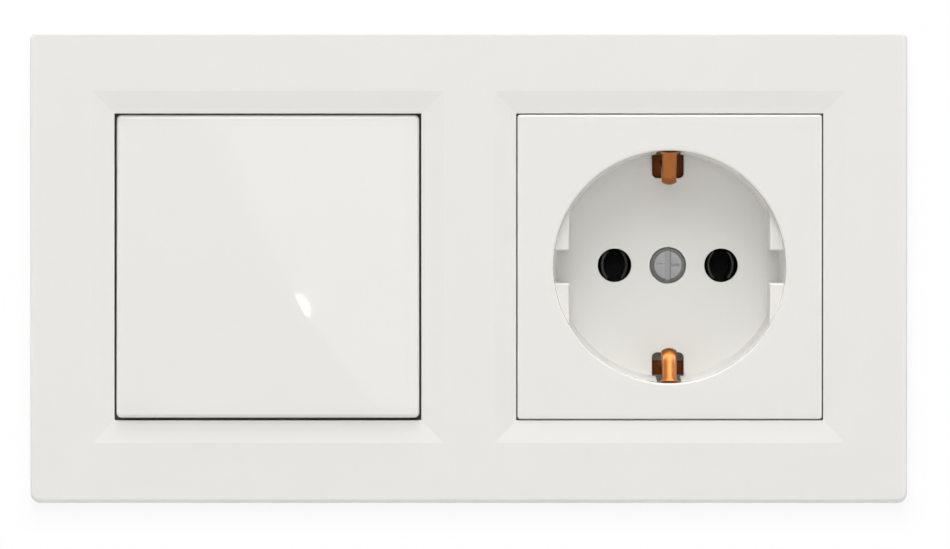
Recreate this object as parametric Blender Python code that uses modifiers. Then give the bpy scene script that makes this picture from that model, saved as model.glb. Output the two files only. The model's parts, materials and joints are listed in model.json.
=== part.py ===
"""Switch and socket combination: a two-gang cover frame, a rocker switch and an earthed socket.

Metres, +Z up. The front looks along -Y, the wall plane is y = 0 and the mechanisms reach back along +Y.
The origin is the centre of the cover frame on the wall plane.
"""

import math

import bmesh
import bpy
from mathutils import Matrix, Vector

# Fits
FIT = 0.0003                # seat gap between pieces that touch
RUN = 0.0004                # running gap beside pieces that move
PAST = 0.001                # how far a cutter runs past the face that it opens
SINK = 0.0006               # how far joined solids reach into each other

# Cover frame
GANG_PITCH = 0.071          # between the two gang centres
PLATE_GAP = 0.0006          # between the two support plates
BORDER_WIDTH = 0.0068       # from a support plate's edge to the frame's end
BORDER_HEIGHT = 0.00655     # from a support plate's edge to the frame's top
FRAME_DEPTH = 0.0099
FRAME_WALL = 0.002
FRAME_CORNER = 0.0018
FRAME_EDGE = 0.0008
WINDOW_MARGIN = 0.0069      # from the well's rim to the window's side
SLOPE_WIDTH = 0.004         # the sloping border round each window
SLOPE_DROP = 0.0007
COLLAR_WALL = 0.0015
RIB_WALL = 0.0012
RIB_PLACE = 0.015
RIB_DEPTH = 0.004
FOOT_GAP = 0.002            # above and below the foot in the plates' waists

# Support plates
PLATE_THICK = 0.0012
PLATE_CHAMFER = 0.008
PLATE_WAIST = 0.002
PLATE_WAIST_HEIGHT = 0.016
BOX_SCREW_PITCH = 0.060
BOX_SLOT_LENGTH = 0.007
BOX_SLOT_WIDTH = 0.0036
RIVET_RADIUS = 0.0011
RIVET_HEAD = 0.0021
RIVET_HEAD_THICK = 0.0005
RIVET_DEPTH = 0.003
RIVET_X = 0.010

# Spreading claws
CLAW_HEIGHT = 0.012         # of each claw screw above or below the gang centre
CLAW_SCREW_OUT = 0.0008     # of a claw screw's axis sideways beyond the well's side
CLAW_SCREW_RADIUS = 0.00175
CLAW_SCREW_HEAD = 0.0028
CLAW_SCREW_HEAD_THICK = 0.0016
CLAW_SCREW_END = 0.014
CLAW_STRIP = 0.0064
CLAW_THICK = 0.0012
CLAW_AXIS_GAP = 0.002       # from a claw screw back to its claw's hinge axis
CLAW_AXIS_Y = 0.0032
CLAW_ARM_GAP = 0.0032       # from a claw screw out to its claw's arm
CLAW_ARM_END = 0.0180
CLAW_TOOTH = 0.002
CLAW_TOOTH_GAP = 0.0009
CLAW_BEND = 0.0012
CLAW_ROOT = 0.0004          # from the hinge axis to the strip's end
CHEEK_WALL = 0.0004
CHEEK_DEPTH = 0.0024
CLAW_SEAT_GAP = 0.00035     # each side of the strip in its groove

# Terminals
BLOCK = 0.0064
BLOCK_DEPTH = 0.007
WIRE_RADIUS = 0.0015
SCREW_RADIUS = 0.00125
SCREW_HEAD = 0.0019
SCREW_HEAD_THICK = 0.0016
STRIP_THICK = 0.0008
DRIVER_SLOT = 0.0006
DRIVER_DEPTH = 0.0008
SCREW_POINT = 0.0006
SCREW_CHAMFER = 0.0005
BLOCK_EDGE = 0.0005
BLOCK_FLOOR = 0.0012        # left in front of a wire bore
SMALL_CORNER = 0.001        # of small plates and strips

# Switch base and its cover
SWITCH_HALF_HEIGHT = 0.0232
CHEEK_REACH = 0.001         # of the claws' hinge axis beyond a base's side
BACK_WALL = 0.0025          # behind the terminal rooms
BASE_CHAMFER = 0.003
CHAMBER_HALF_WIDTH = 0.006
CHAMBER_DEPTH = 0.0145
CHAMBER_ROOM = 0.0025       # above and below the contact rivets
SWITCH_WALL = 0.0025        # above and below the terminal rooms
SWITCH_SIDE_WALL = 0.0022   # beside the common terminal's room
BEARING_GAP = 0.001         # to the plate rivets
BEARING_SIDE_GAP = 0.0018   # to the claw screws' heads
BEARING_THICK = 0.0018
EAR_X = 0.0125
EAR_THICK = 0.0016
EAR_RADIUS = 0.002

# Rocker, cradle, spring and plunger
ROCKER_GAP = 0.00045        # to the window all round
ROCKER_PROUD = 0.0003       # of its middle, in front of the frame
ROCKER_WALL = 0.0018
ROCKER_DEPTH = 0.0057
ROCKER_CROWN = 0.00035
CROWN_SINK = 0.0001         # the dome's rim lies this deep in the face
ROCKER_CORNER = 0.001
ROCKER_EDGE = 0.0008
ROCKER_INNER_CORNER = 0.0005
ROCKER_TILT = math.radians(2.0)
POST_X = 0.0085
POST_Z = 0.0065
POST_RADIUS = 0.0012
POST_LENGTH = 0.003
CRADLE_HALF_HEIGHT = 0.009
CRADLE_THICK = 0.0033
PIN_RADIUS = 0.001
STEM_HALF = 0.0034
STEM_END = 0.003
SPRING_WIRE = 0.0003
SPRING_RADIUS = 0.0015
SPRING_TURNS = 6
PLUNGER_RADIUS = 0.0018
PLUNGER_TIP_RADIUS = 0.0014
PLUNGER_START = 0.0005
PLUNGER_COLLAR = 0.001      # its thick end reaches this far out of the stem
PLUNGER_STEP = 0.0004
WINDOW_HALF_WIDTH = 0.005
WINDOW_HALF_HEIGHT = 0.008

# Contacts of the switch
SEESAW_RATIO = 1.8          # the seesaw turns this much more than the rocker, the other way
SEESAW_HALF_WIDTH = 0.0025
SEESAW_REACH = 0.0083       # of the contact rivets from the axis
CONTACT_RIVET = 0.0013
CONTACT_SHANK = 0.0008
CONTACT_HEAD_THICK = 0.0005
FIXED_RIVET_THICK = 0.00095
CONTACT_HALF_WIDTH = 0.0025
CONTACT_EDGE = 0.0003       # of strip past its rivet
KNIFE_EDGE = 0.0001
KNIFE_BASE = 0.0012
STRIP_LAP = 0.001           # how far a strip reaches past its terminal's centre

# Socket cover
COVER_GAP = 0.0003          # to the window all round
COVER_WALL = 0.0015
COVER_THICK = 0.002
COVER_SKIRT = 0.0049
COVER_CORNER = 0.0005
COVER_EDGE = 0.0003
WELL_RIM_RADIUS = 0.0202
WELL_DRAFT = 0.00035        # the floor's radius is this much smaller
WELL_FLOOR_Y = 0.0076       # floor surface behind the wall plane
WELL_RIM_FILLET = 0.00055
WELL_WALL = 0.00155
FLOOR_THICK = 0.0024
FLAT_HEIGHT = 0.0025        # of the side flats, from the rim inwards
FLAT_FRONT_Y = -0.0074
FLAT_NOTCH = 0.0058
PIN_PITCH = 0.019
PIN_HOLE_RADIUS = 0.003
EARTH_NOTCH_WIDTH = 0.00565
EARTH_NOTCH_GAP = 0.00055   # from a finger's face out to its notch's end
EARTH_NOTCH_CORNER = 0.0009
EARTH_SLOT_WIDTH = 0.0043
EARTH_SLOT_FRONT = 0.0009   # wall left at the rim in front of the earth slot
COVER_SCREW_HEAD = 0.0029
COVER_SCREW_HEAD_THICK = 0.0008
COVER_SCREW_RADIUS = 0.0018
COVER_SCREW_END = 0.020
COUNTERBORE_DEPTH = 0.0014
COUNTERBORE_GAP = 0.00035
COVER_SLOT_HALF = 0.0006
COVER_CROSS_HALF = 0.0021
COVER_SLOT_DEPTH = 0.0006

# Socket base, earth bracket and pin contacts
RING_THICK = 0.0023
RING_END = 0.012
SOCKET_END_WALL = 0.005     # from a finger's face to the base's end
SOCKET_BACK_WALL = 0.002
RIVET_BOSS = 0.0026
RIVET_BOSS_DEPTH = 0.006
WEB_HALF_WIDTH = 0.0037
WEB_GAP_FRONT = 0.0009      # from the recess floor to the web
WEB_OVERHANG = 0.0032       # of the bracket's web beyond its fingers' faces
WEB_END_GAP = 0.0014
BRIDGE_INSIDE = 0.0005      # from the lower finger's face inwards
BRIDGE_OUTSIDE = 0.0021
BRIDGE_THICK = 0.0006
FINGER_WIDTH = 0.00233
FINGER_TIP_WIDTH = 0.0037
FINGER_THICK = 0.0008
FINGER_PROUD = 0.0052       # of each finger's contact face from the well's rim
FINGER_TIP_SHARE = 0.18     # of its length over which the tip widens
FINGER_ROOT = ((0.0, 0.0012), (0.0004, 0.0026), (0.0024, 0.0031), (0.0066, 0.0017))
FINGER_BEND = ((0.0012, 0.0001), (-0.0014, 0.0), (-0.0046, 0.0021))
FINGER_TIP_GAP = 0.0012     # in front of the tip, to the slot's end
SHROUD_INNER = 0.0034
SHROUD_OUTER = 0.0044
LEAF_REACH = 0.0024
LEAF_CURVE = 0.0036
LEAF_THICK = 0.0005
LEAF_START = 0.0125
LEAF_ANGLE = math.radians(42)
TAIL_HALF = 0.002
TAIL_END = 0.0004           # from the tail's end to the block's side
PIN_ROOM_END = 0.0269       # as deep as a plug's pins reach
TERMINAL_INSET = 0.001      # of the terminals' centres inside the fingers' faces

# Places that follow
SWITCH_X = -GANG_PITCH / 2
SOCKET_X = GANG_PITCH / 2
WINDOW = 2 * (WELL_RIM_RADIUS + WINDOW_MARGIN)
PLATE = GANG_PITCH - PLATE_GAP
FRAME_HALF_WIDTH = SOCKET_X + PLATE / 2 + BORDER_WIDTH
FRAME_HALF_HEIGHT = PLATE / 2 + BORDER_HEIGHT
PLATE_FRONT = -PLATE_THICK
COLLAR_BACK = PLATE_FRONT - FIT
ROCKER_FRONT = -FRAME_DEPTH - ROCKER_PROUD
ROCKER_INNER = ROCKER_FRONT + ROCKER_WALL
ROCKER_HALF = WINDOW / 2 - ROCKER_GAP
HINGE_Y = ROCKER_INNER + EAR_RADIUS + RUN
CRADLE_FRONT = ROCKER_INNER + FIT
CRADLE_BACK = CRADLE_FRONT + CRADLE_THICK
STRIP_BACK = CHAMBER_DEPTH - FIT
STRIP_FRONT = STRIP_BACK - STRIP_THICK
FIXED_CONTACT_Y = STRIP_FRONT - FIXED_RIVET_THICK
SEESAW_TILT = ROCKER_TILT * SEESAW_RATIO
CONTACT_TRAVEL = SEESAW_REACH * math.sin(SEESAW_TILT)
MOVING_RIVET_BACK = FIXED_CONTACT_Y - CONTACT_TRAVEL - FIT
SEESAW_BACK = MOVING_RIVET_BACK - CONTACT_HEAD_THICK - FIT
SEESAW_FRONT = SEESAW_BACK - STRIP_THICK
SEESAW_AXIS_Y = SEESAW_BACK + FIT
PLUNGER_TIP_Y = SEESAW_FRONT - FIT
WELL_FLOOR_RADIUS = WELL_RIM_RADIUS - WELL_DRAFT
WELL_OUTER_RADIUS = WELL_FLOOR_RADIUS + WELL_WALL
FLAT_X = WELL_RIM_RADIUS - FLAT_HEIGHT
FINGER_REACH = WELL_RIM_RADIUS - FINGER_PROUD
EARTH_NOTCH_INNER = FINGER_REACH + EARTH_NOTCH_GAP
CLAW_SCREW_X = WELL_OUTER_RADIUS + CLAW_SCREW_OUT
CLAW_AXIS_X = CLAW_SCREW_X - CLAW_AXIS_GAP
CLAW_ARM_X = CLAW_SCREW_X + CLAW_ARM_GAP
BASE_HALF_WIDTH = CLAW_AXIS_X - CHEEK_REACH
CHAMBER_HALF_HEIGHT = SEESAW_REACH + CONTACT_RIVET + CHAMBER_ROOM
SWITCH_RIVET_Z = SWITCH_HALF_HEIGHT - SWITCH_WALL
BEARING_HALF_WIDTH = CLAW_SCREW_X - CLAW_SCREW_HEAD - BEARING_SIDE_GAP
BEARING_HALF_HEIGHT = SWITCH_RIVET_Z - RIVET_HEAD - BEARING_GAP
SWITCH_BASE_DEPTH = CHAMBER_DEPTH + BLOCK_DEPTH + FIT + BACK_WALL
SOCKET_OPENING = WELL_OUTER_RADIUS + RUN
RING_BORE = WELL_OUTER_RADIUS + FIT
RING_RADIUS = RING_BORE + RING_THICK
COVER_FRONT = -FRAME_DEPTH  # flush with the frame
COVER_HALF = WINDOW / 2 - COVER_GAP
FLOOR_BACK = WELL_FLOOR_Y + FLOOR_THICK
RECESS_Y = FLOOR_BACK + FIT
WEB_FRONT = RECESS_Y + WEB_GAP_FRONT
WEB_BACK = WEB_FRONT + STRIP_THICK
SOCKET_RIVET_Z = math.sqrt((RING_BORE + RIVET_HEAD + FIT) ** 2 - RIVET_X ** 2)
TAIL_FRONT = PIN_ROOM_END + FIT
TAIL_BACK = TAIL_FRONT + STRIP_THICK
SOCKET_BASE_DEPTH = TAIL_BACK + FIT + SOCKET_BACK_WALL
PIN_X = PIN_PITCH / 2
TERMINAL_DROP = FINGER_REACH - TERMINAL_INSET
SOCKET_HALF_HEIGHT = FINGER_REACH + SOCKET_END_WALL
WEB_REACH = FINGER_REACH + WEB_OVERHANG
BRIDGE_INNER = FINGER_REACH - BRIDGE_INSIDE
BRIDGE_OUTER = FINGER_REACH + BRIDGE_OUTSIDE

WHITE = ("white_plastic", (0.80, 0.79, 0.765), 0.22, 0.0)
PALE_GREY = ("pale_grey_plastic", (0.42, 0.42, 0.41), 0.45, 0.0)
GREY = ("grey_plastic", (0.18, 0.18, 0.175), 0.50, 0.0)
BLACK = ("black_plastic", (0.012, 0.012, 0.012), 0.40, 0.0)
STEEL = ("zinc_plated_steel", (0.58, 0.59, 0.60), 0.34, 1.0)
SCREW_GREY = ("grey_screw", (0.42, 0.42, 0.43), 0.38, 0.6)
BRASS = ("brass", (0.78, 0.60, 0.30), 0.30, 1.0)
COPPER = ("copper", (0.72, 0.36, 0.16), 0.30, 1.0)
SILVER = ("silver_contact", (0.80, 0.80, 0.78), 0.30, 1.0)

for old in list(bpy.data.objects):
    bpy.data.objects.remove(old, do_unlink=True)

PARTS = bpy.data.collections.new("switch_and_socket_combination")
TOOLS = bpy.data.collections.new("cutters")
bpy.context.scene.collection.children.link(PARTS)
bpy.context.scene.collection.children.link(TOOLS)


def put(name, mesh, at=(0, 0, 0)):
    """Make a blank: an object among the cutters, until it is finished as a part."""
    blank = bpy.data.objects.new(name, mesh)
    blank.location = at
    blank.hide_render = True
    blank.display_type = "WIRE"
    TOOLS.objects.link(blank)
    return blank


def from_bmesh(name, bm, at=(0, 0, 0)):
    mesh = bpy.data.meshes.new(name)
    bm.to_mesh(mesh)
    bm.free()
    return put(name, mesh, at)


def block(name, x, y, z, upright=(0, 1), front=(0, 1)):
    """A block between three pairs of limits; upright rounds its edges along Y, front the edges facing -Y."""
    low = Vector((x[0], y[0], z[0]))
    high = Vector((x[1], y[1], z[1]))
    bm = bmesh.new()
    bmesh.ops.create_cube(bm, size=1.0)
    bmesh.ops.scale(bm, vec=high - low, verts=bm.verts)
    for (radius, steps), along_y in ((upright, True), (front, False)):
        if not radius:
            continue
        face_y = min(v.co.y for v in bm.verts)
        if along_y:
            edges = [e for e in bm.edges if abs(e.verts[0].co.y - e.verts[1].co.y) > 1e-6]
        else:
            edges = [e for e in bm.edges if all(abs(v.co.y - face_y) < 1e-7 for v in e.verts)]
        bmesh.ops.bevel(bm, geom=edges, offset=radius, offset_type="OFFSET", segments=steps,
                        profile=0.5, affect="EDGES", clamp_overlap=False)
    return from_bmesh(name, bm, (low + high) / 2)


def rod(name, radius, start, end, sides=24, end_radius=None):
    """A round rod or taper from one point to another."""
    start, end = Vector(start), Vector(end)
    far = radius if end_radius is None else end_radius
    turn = (end - start).to_track_quat("Z", "Y").to_matrix().to_4x4()
    bm = bmesh.new()
    bmesh.ops.create_cone(bm, cap_ends=True, segments=sides, radius1=radius, radius2=far,
                          depth=(end - start).length, matrix=turn)
    return from_bmesh(name, bm, (start + end) / 2)


def turned(name, profile, x, z=0.0, sides=32):
    """A turned piece about the Y axis; its profile of (radius, y) runs from the back to the front."""
    bm = bmesh.new()
    points = [bm.verts.new((radius, 0, y)) for radius, y in profile]
    for a, b in zip(points, points[1:]):
        bm.edges.new((a, b))
    piece = from_bmesh(name, bm, (x, 0, z))
    piece.rotation_euler.x = -math.pi / 2
    screw = piece.modifiers.new("turn", "SCREW")
    screw.steps = screw.render_steps = sides
    screw.use_merge_vertices = True
    screw.merge_threshold = 0.000001
    return piece


def ribbon(name, path, across, widths, thickness):
    """A strip of sheet metal: a cross edge drawn along a path, then thickened both ways."""
    across = Vector(across)
    bm = bmesh.new()
    ends = [bm.verts.new(Vector(path[0]) + across * (widths[0] * side)) for side in (-0.5, 0.5)]
    edge = bm.edges.new(ends)
    for point, width in zip(path[1:], widths[1:]):
        grown = bmesh.ops.extrude_edge_only(bm, edges=[edge])["geom"]
        ends = sorted((v for v in grown if isinstance(v, bmesh.types.BMVert)), key=lambda v: v.co.dot(across))
        for vert, side in zip(ends, (-0.5, 0.5)):
            vert.co = Vector(point) + across * (width * side)
        edge = bm.edges.get(ends)
    piece = from_bmesh(name, bm)
    skin = piece.modifiers.new("thickness", "SOLIDIFY")
    skin.thickness = thickness
    skin.offset = 0.0
    skin.use_even_offset = True
    return piece


def boolean(target, tools, operation):
    for tool in tools:
        step = target.modifiers.new(tool.name, "BOOLEAN")
        step.operation = operation
        step.solver = "EXACT"
        step.object = tool
    return target


def cut(target, *tools):
    return boolean(target, tools, "DIFFERENCE")


def join(target, *tools):
    return boolean(target, tools, "UNION")


def material(look):
    name, colour, roughness, metallic = look
    found = bpy.data.materials.get(name)
    if found:
        return found
    made = bpy.data.materials.new(name)
    made.use_nodes = True
    shader = made.node_tree.nodes["Principled BSDF"]
    shader.inputs["Base Color"].default_value = (*colour, 1.0)
    shader.inputs["Roughness"].default_value = roughness
    shader.inputs["Metallic"].default_value = metallic
    made.diffuse_color = (*colour, 1.0)
    return made


def finish(piece, look, axis=None):
    """Move a blank to the parts, give it its material and hang it on its joint's axis if it moves."""
    TOOLS.objects.unlink(piece)
    PARTS.objects.link(piece)
    piece.hide_render = False
    piece.display_type = "TEXTURED"
    piece.data.materials.append(material(look))
    piece.data.shade_smooth()
    if piece.data.polygons:
        piece.data.set_sharp_from_angle(angle=math.radians(35))
    if axis:
        hang(piece, axis)
    return piece


def hang(piece, axis):
    """Parent a piece and everything that cuts or joins it to its joint's axis."""
    piece.parent = axis
    piece.matrix_parent_inverse = Matrix.Translation(-Vector(axis.location))
    for step in piece.modifiers:
        if step.type == "BOOLEAN":
            hang(step.object, axis)


def joint_axis(name, at):
    axis = bpy.data.objects.new(name, None)
    axis.location = at
    PARTS.objects.link(axis)
    return axis


def curve_through(points, steps):
    """Points of a smooth curve that passes through all the given ones."""
    ends = [points[0], *points, points[-1]]
    path = []
    for before, a, b, after in zip(ends, ends[1:], ends[2:], ends[3:]):
        for step in range(steps):
            t = step / steps
            path.append([0.5 * (2 * q + (r - p) * t + (2 * p - 5 * q + 4 * r - s) * t ** 2
                                + (3 * q - p - 3 * r + s) * t ** 3)
                         for p, q, r, s in zip(before, a, b, after)])
    return path + [list(points[-1])]


def cover_frame():
    """The two-gang frame: a hollow moulding with collars round its windows and ribs behind its skin."""
    inner_width = FRAME_HALF_WIDTH - FRAME_WALL
    inner_height = FRAME_HALF_HEIGHT - FRAME_WALL
    skin_back = -FRAME_DEPTH + FRAME_WALL
    rib_back = skin_back + RIB_DEPTH
    collar = WINDOW / 2 + COLLAR_WALL
    foot = PLATE_WAIST_HEIGHT / 2 - FOOT_GAP
    frame = block("cover_frame", (-FRAME_HALF_WIDTH, FRAME_HALF_WIDTH), (-FRAME_DEPTH, 0),
                  (-FRAME_HALF_HEIGHT, FRAME_HALF_HEIGHT), (FRAME_CORNER, 5), (FRAME_EDGE, 3))
    hollow = block("frame_hollow", (-inner_width, inner_width), (skin_back, PAST),
                   (-inner_height, inner_height))
    for gang in (SWITCH_X, SOCKET_X):
        keep = [block("collar", (gang - collar, gang + collar), (-FRAME_DEPTH, COLLAR_BACK), (-collar, collar))]
        for side in (-1, 1):
            x = gang + side * RIB_PLACE
            keep.append(block("upright_rib", (x - RIB_WALL / 2, x + RIB_WALL / 2), (-FRAME_DEPTH, rib_back),
                              (-FRAME_HALF_HEIGHT, FRAME_HALF_HEIGHT)))
        cut(hollow, *keep)
    for side in (-1, 1):
        z = side * RIB_PLACE
        cut(hollow, block("level_rib", (-FRAME_HALF_WIDTH, FRAME_HALF_WIDTH), (-FRAME_DEPTH, rib_back),
                          (z - RIB_WALL / 2, z + RIB_WALL / 2)))
    cut(hollow, block("middle_rib", (-RIB_WALL, RIB_WALL), (-FRAME_DEPTH, COLLAR_BACK),
                      (-FRAME_HALF_HEIGHT, FRAME_HALF_HEIGHT)),
        block("foot", (-RIB_WALL, RIB_WALL), (-FRAME_DEPTH, 2 * PAST), (-foot, foot)))
    cut(frame, hollow)
    for gang in (SWITCH_X, SOCKET_X):
        cut(frame, block("window", (gang - WINDOW / 2, gang + WINDOW / 2), (-FRAME_DEPTH - PAST, PAST),
                         (-WINDOW / 2, WINDOW / 2)), slope_cutter(gang))
    finish(frame, WHITE)


def taper_front(piece, across, up):
    """Scale the front of a block across and up, so that its sides slope."""
    for vert in piece.data.vertices:
        if vert.co.y < 0:
            vert.co.x *= across
            vert.co.z *= up
    return piece


def slope_cutter(gang):
    """A shallow four-sided taper that leaves the sloping border round a window."""
    half = WINDOW / 2
    taper = block("slope", (gang - half, gang + half), (-FRAME_DEPTH - PAST, -FRAME_DEPTH + SLOPE_DROP),
                  (-half, half))
    spread = 1 + SLOPE_WIDTH * (1 + PAST / SLOPE_DROP) / half
    return taper_front(taper, spread, spread)


def support_plate(name, gang, opening, rivet_z, rivet_sides):
    """A pressed steel plate with an opening for its mechanism, box screw slots and claw screw holes."""
    half = PLATE / 2
    through = (PLATE_FRONT - PAST, PAST)
    plate = block(name, (gang - half, gang + half), (PLATE_FRONT, 0), (-half, half), (PLATE_CHAMFER, 1))
    cut(plate, opening)
    for side in (-1, 1):
        edge = gang + side * half
        claw = (gang + side * CLAW_SCREW_X, -side * CLAW_HEIGHT)
        slot_z = side * BOX_SCREW_PITCH / 2
        rivet = (gang + rivet_sides * side * RIVET_X, side * rivet_z)
        cut(plate,
            block("waist", (edge - PLATE_WAIST, edge + PLATE_WAIST), through,
                  (-PLATE_WAIST_HEIGHT / 2, PLATE_WAIST_HEIGHT / 2)),
            block("box_slot", (gang - BOX_SLOT_LENGTH / 2, gang + BOX_SLOT_LENGTH / 2), through,
                  (slot_z - BOX_SLOT_WIDTH / 2, slot_z + BOX_SLOT_WIDTH / 2), (BOX_SLOT_WIDTH * 0.49, 4)),
            rod("claw_screw_hole", CLAW_SCREW_RADIUS + FIT, (claw[0], through[0], claw[1]),
                (claw[0], through[1], claw[1]), 16),
            rod("rivet_hole", RIVET_RADIUS + FIT, (rivet[0], through[0], rivet[1]),
                (rivet[0], through[1], rivet[1]), 12))
    finish(plate, STEEL)


def plate_rivets(name, gang, rivet_z, rivet_sides):
    """The two rivets that hold a support plate to its base."""
    for side, where in ((-1, "lower"), (1, "upper")):
        x = gang + rivet_sides * side * RIVET_X
        head = PLATE_FRONT - FIT
        rivet = turned(f"{name}_{where}", [(0, RIVET_DEPTH), (RIVET_RADIUS, RIVET_DEPTH), (RIVET_RADIUS, head),
                                           (RIVET_HEAD, head), (RIVET_HEAD * 0.8, head - RIVET_HEAD_THICK),
                                           (0, head - RIVET_HEAD_THICK)], x, side * rivet_z, 12)
        finish(rivet, STEEL)


def rivet_holes(base, gang, rivet_z, rivet_sides):
    for side in (-1, 1):
        x = gang + rivet_sides * side * RIVET_X
        cut(base, rod("rivet_seat", RIVET_RADIUS + FIT, (x, -PAST, side * rivet_z),
                      (x, RIVET_DEPTH + FIT, side * rivet_z), 12))


def claw_cheeks(base, gang, half_width):
    """The forked cheeks on both sides of a base, in which the claws hook."""
    reach = CLAW_AXIS_X + FIT
    half = CLAW_STRIP / 2 + FIT + CHEEK_WALL
    for side in (-1, 1):
        x = sorted((gang + side * (half_width - SINK), gang + side * reach))
        z = -side * CLAW_HEIGHT
        join(base, block("cheek", x, (FIT, CLAW_AXIS_Y + CHEEK_DEPTH), (z - half, z + half)))


def claw_rooms(base, gang):
    """Grooves for the claw strips, room for them to swing forwards, and pockets for their screws."""
    half = CLAW_STRIP / 2 + FIT
    groove = CLAW_THICK / 2 + CLAW_SEAT_GAP
    far = CLAW_ARM_X + CLAW_TOOTH
    for side in (-1, 1):
        z = -side * CLAW_HEIGHT
        screw_x = gang + side * CLAW_SCREW_X
        root = sorted((gang + side * (CLAW_AXIS_X - CLAW_ROOT - RUN), gang + side * far))
        swing = sorted((gang + side * (CLAW_AXIS_X + FIT), gang + side * far))
        cut(base,
            block("claw_groove", root, (CLAW_AXIS_Y - groove, CLAW_AXIS_Y + groove), (z - half, z + half)),
            block("claw_swing", swing, (-PAST, CLAW_AXIS_Y + groove), (z - half, z + half)),
            rod("claw_screw_room", CLAW_SCREW_RADIUS + FIT, (screw_x, -PAST, z),
                (screw_x, CLAW_SCREW_END + SCREW_POINT + PAST, z), 16))


def claw(name, gang, side):
    """A bent strip with a fork round its screw and a toothed end that grips the box wall."""
    z = -side * CLAW_HEIGHT
    root = CLAW_AXIS_X - CLAW_ROOT
    bend = CLAW_BEND
    path = [(root, CLAW_AXIS_Y), (CLAW_ARM_X - bend, CLAW_AXIS_Y)]
    for step in range(1, 4):
        angle = step * math.pi / 6
        path.append((CLAW_ARM_X - bend + bend * math.sin(angle), CLAW_AXIS_Y + bend - bend * math.cos(angle)))
    path += [(CLAW_ARM_X, CLAW_ARM_END), (CLAW_ARM_X + CLAW_TOOTH, CLAW_ARM_END + CLAW_TOOTH * 0.6)]
    points = [(gang + side * x, y, z) for x, y in path]
    strip = ribbon(name, points, (0, 0, 1), [CLAW_STRIP] * len(points), CLAW_THICK)
    fork_half = CLAW_SCREW_RADIUS + FIT
    fork = sorted((gang + side * (root - PAST), gang + side * (CLAW_SCREW_X + CLAW_SCREW_RADIUS + 2 * FIT)))
    cut(strip, block("fork_slot", fork, (CLAW_AXIS_Y - CLAW_THICK, CLAW_AXIS_Y + CLAW_THICK),
                     (z - fork_half, z + fork_half)))
    tooth_x, tooth_y = gang + side * (CLAW_ARM_X + CLAW_TOOTH), CLAW_ARM_END + CLAW_TOOTH * 0.9
    for across in (-1, 1):
        tooth_z = z + across * CLAW_STRIP / 4
        cut(strip, rod("tooth_gap", CLAW_TOOTH_GAP, (tooth_x - CLAW_THICK - PAST, tooth_y, tooth_z),
                       (tooth_x + CLAW_THICK + PAST, tooth_y, tooth_z), 4))
    axis = joint_axis(name + "_axis", (gang + side * CLAW_AXIS_X, CLAW_AXIS_Y, z))
    finish(strip, STEEL, axis)


def claw_screw(name, gang, side):
    x, z = gang + side * CLAW_SCREW_X, -side * CLAW_HEIGHT
    seat = PLATE_FRONT - FIT
    top = seat - CLAW_SCREW_HEAD_THICK
    point = CLAW_SCREW_END + SCREW_POINT
    profile = [(0, point), (CLAW_SCREW_RADIUS / 2, point), (CLAW_SCREW_RADIUS, CLAW_SCREW_END),
               (CLAW_SCREW_RADIUS, seat), (CLAW_SCREW_HEAD, seat), (CLAW_SCREW_HEAD, top + SCREW_CHAMFER),
               (CLAW_SCREW_HEAD - SCREW_CHAMFER, top), (0, top)]
    screw = turned(name, profile, x, z, 20)
    half = CLAW_SCREW_HEAD * 2
    cut(screw, block("screw_slot", (x - half, x + half), (top - PAST, top + DRIVER_DEPTH),
                     (z - DRIVER_SLOT / 2, z + DRIVER_SLOT / 2)))
    finish(screw, STEEL)


def terminal(name, centre, outward, front):
    """A brass block with a wire bore from the back and a clamping screw from its outer side."""
    x, z = centre
    half = BLOCK / 2
    middle = front + BLOCK_DEPTH / 2
    out = Vector((outward[0], 0, outward[1]))
    place = Vector((x, middle, z))
    body = block(name, (x - half, x + half), (front, front + BLOCK_DEPTH), (z - half, z + half),
                 (BLOCK_EDGE, 2))
    cut(body,
        rod("wire_bore", WIRE_RADIUS, (x, front + BLOCK_FLOOR, z), (x, front + BLOCK_DEPTH + PAST, z), 16),
        rod("screw_bore", SCREW_RADIUS + FIT, place, place + out * (half + PAST), 16))
    finish(body, BRASS)
    seat = half + FIT
    screw = join(rod(name + "_screw", SCREW_RADIUS, place + out * (WIRE_RADIUS / 2),
                     place + out * (seat + SINK), 16),
                 rod("screw_head", SCREW_HEAD, place + out * seat, place + out * (seat + SCREW_HEAD_THICK), 16))
    across = Vector((abs(outward[1]), 0, abs(outward[0])))
    top = place + out * (seat + SCREW_HEAD_THICK)
    long, deep = SCREW_HEAD * 2 * across, Vector((0, DRIVER_SLOT / 2, 0))
    low, high = top - long - deep - out * DRIVER_DEPTH, top + long + deep + out * PAST
    slot = block("head_slot", sorted((low.x, high.x)), (low.y, high.y), sorted((low.z, high.z)))
    finish(cut(screw, slot), STEEL)


def terminal_room(base, centre, outward, front, back, mouth):
    """The room of a terminal in a base, with its wire hole to the back and its screw hole to the side."""
    x, z = centre
    half = BLOCK / 2 + FIT
    middle = front + BLOCK_DEPTH / 2
    out = Vector((outward[0], 0, outward[1]))
    place = Vector((x, middle, z))
    cut(base,
        block("terminal_room", (x - half, x + half), (mouth, front + BLOCK_DEPTH + FIT),
              (z - half, z + half)),
        rod("wire_hole", WIRE_RADIUS, (x, front + BLOCK_DEPTH, z), (x, back + PAST, z), 16),
        rod("screw_hole", SCREW_HEAD + FIT, place + out * (half - SINK), place + out * (half + BLOCK), 16))


def switch_terminals():
    """Name, centre and outward direction of the three terminals of the switch."""
    high = SWITCH_HALF_HEIGHT - SWITCH_WALL - FIT - BLOCK / 2
    side = BASE_HALF_WIDTH - SWITCH_SIDE_WALL - FIT - BLOCK / 2
    return (("switch_common_terminal", (SWITCH_X - side, 0.0), (-1, 0)),
            ("switch_upper_terminal", (SWITCH_X, high), (0, 1)),
            ("switch_lower_terminal", (SWITCH_X, -high), (0, -1)))


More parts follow.
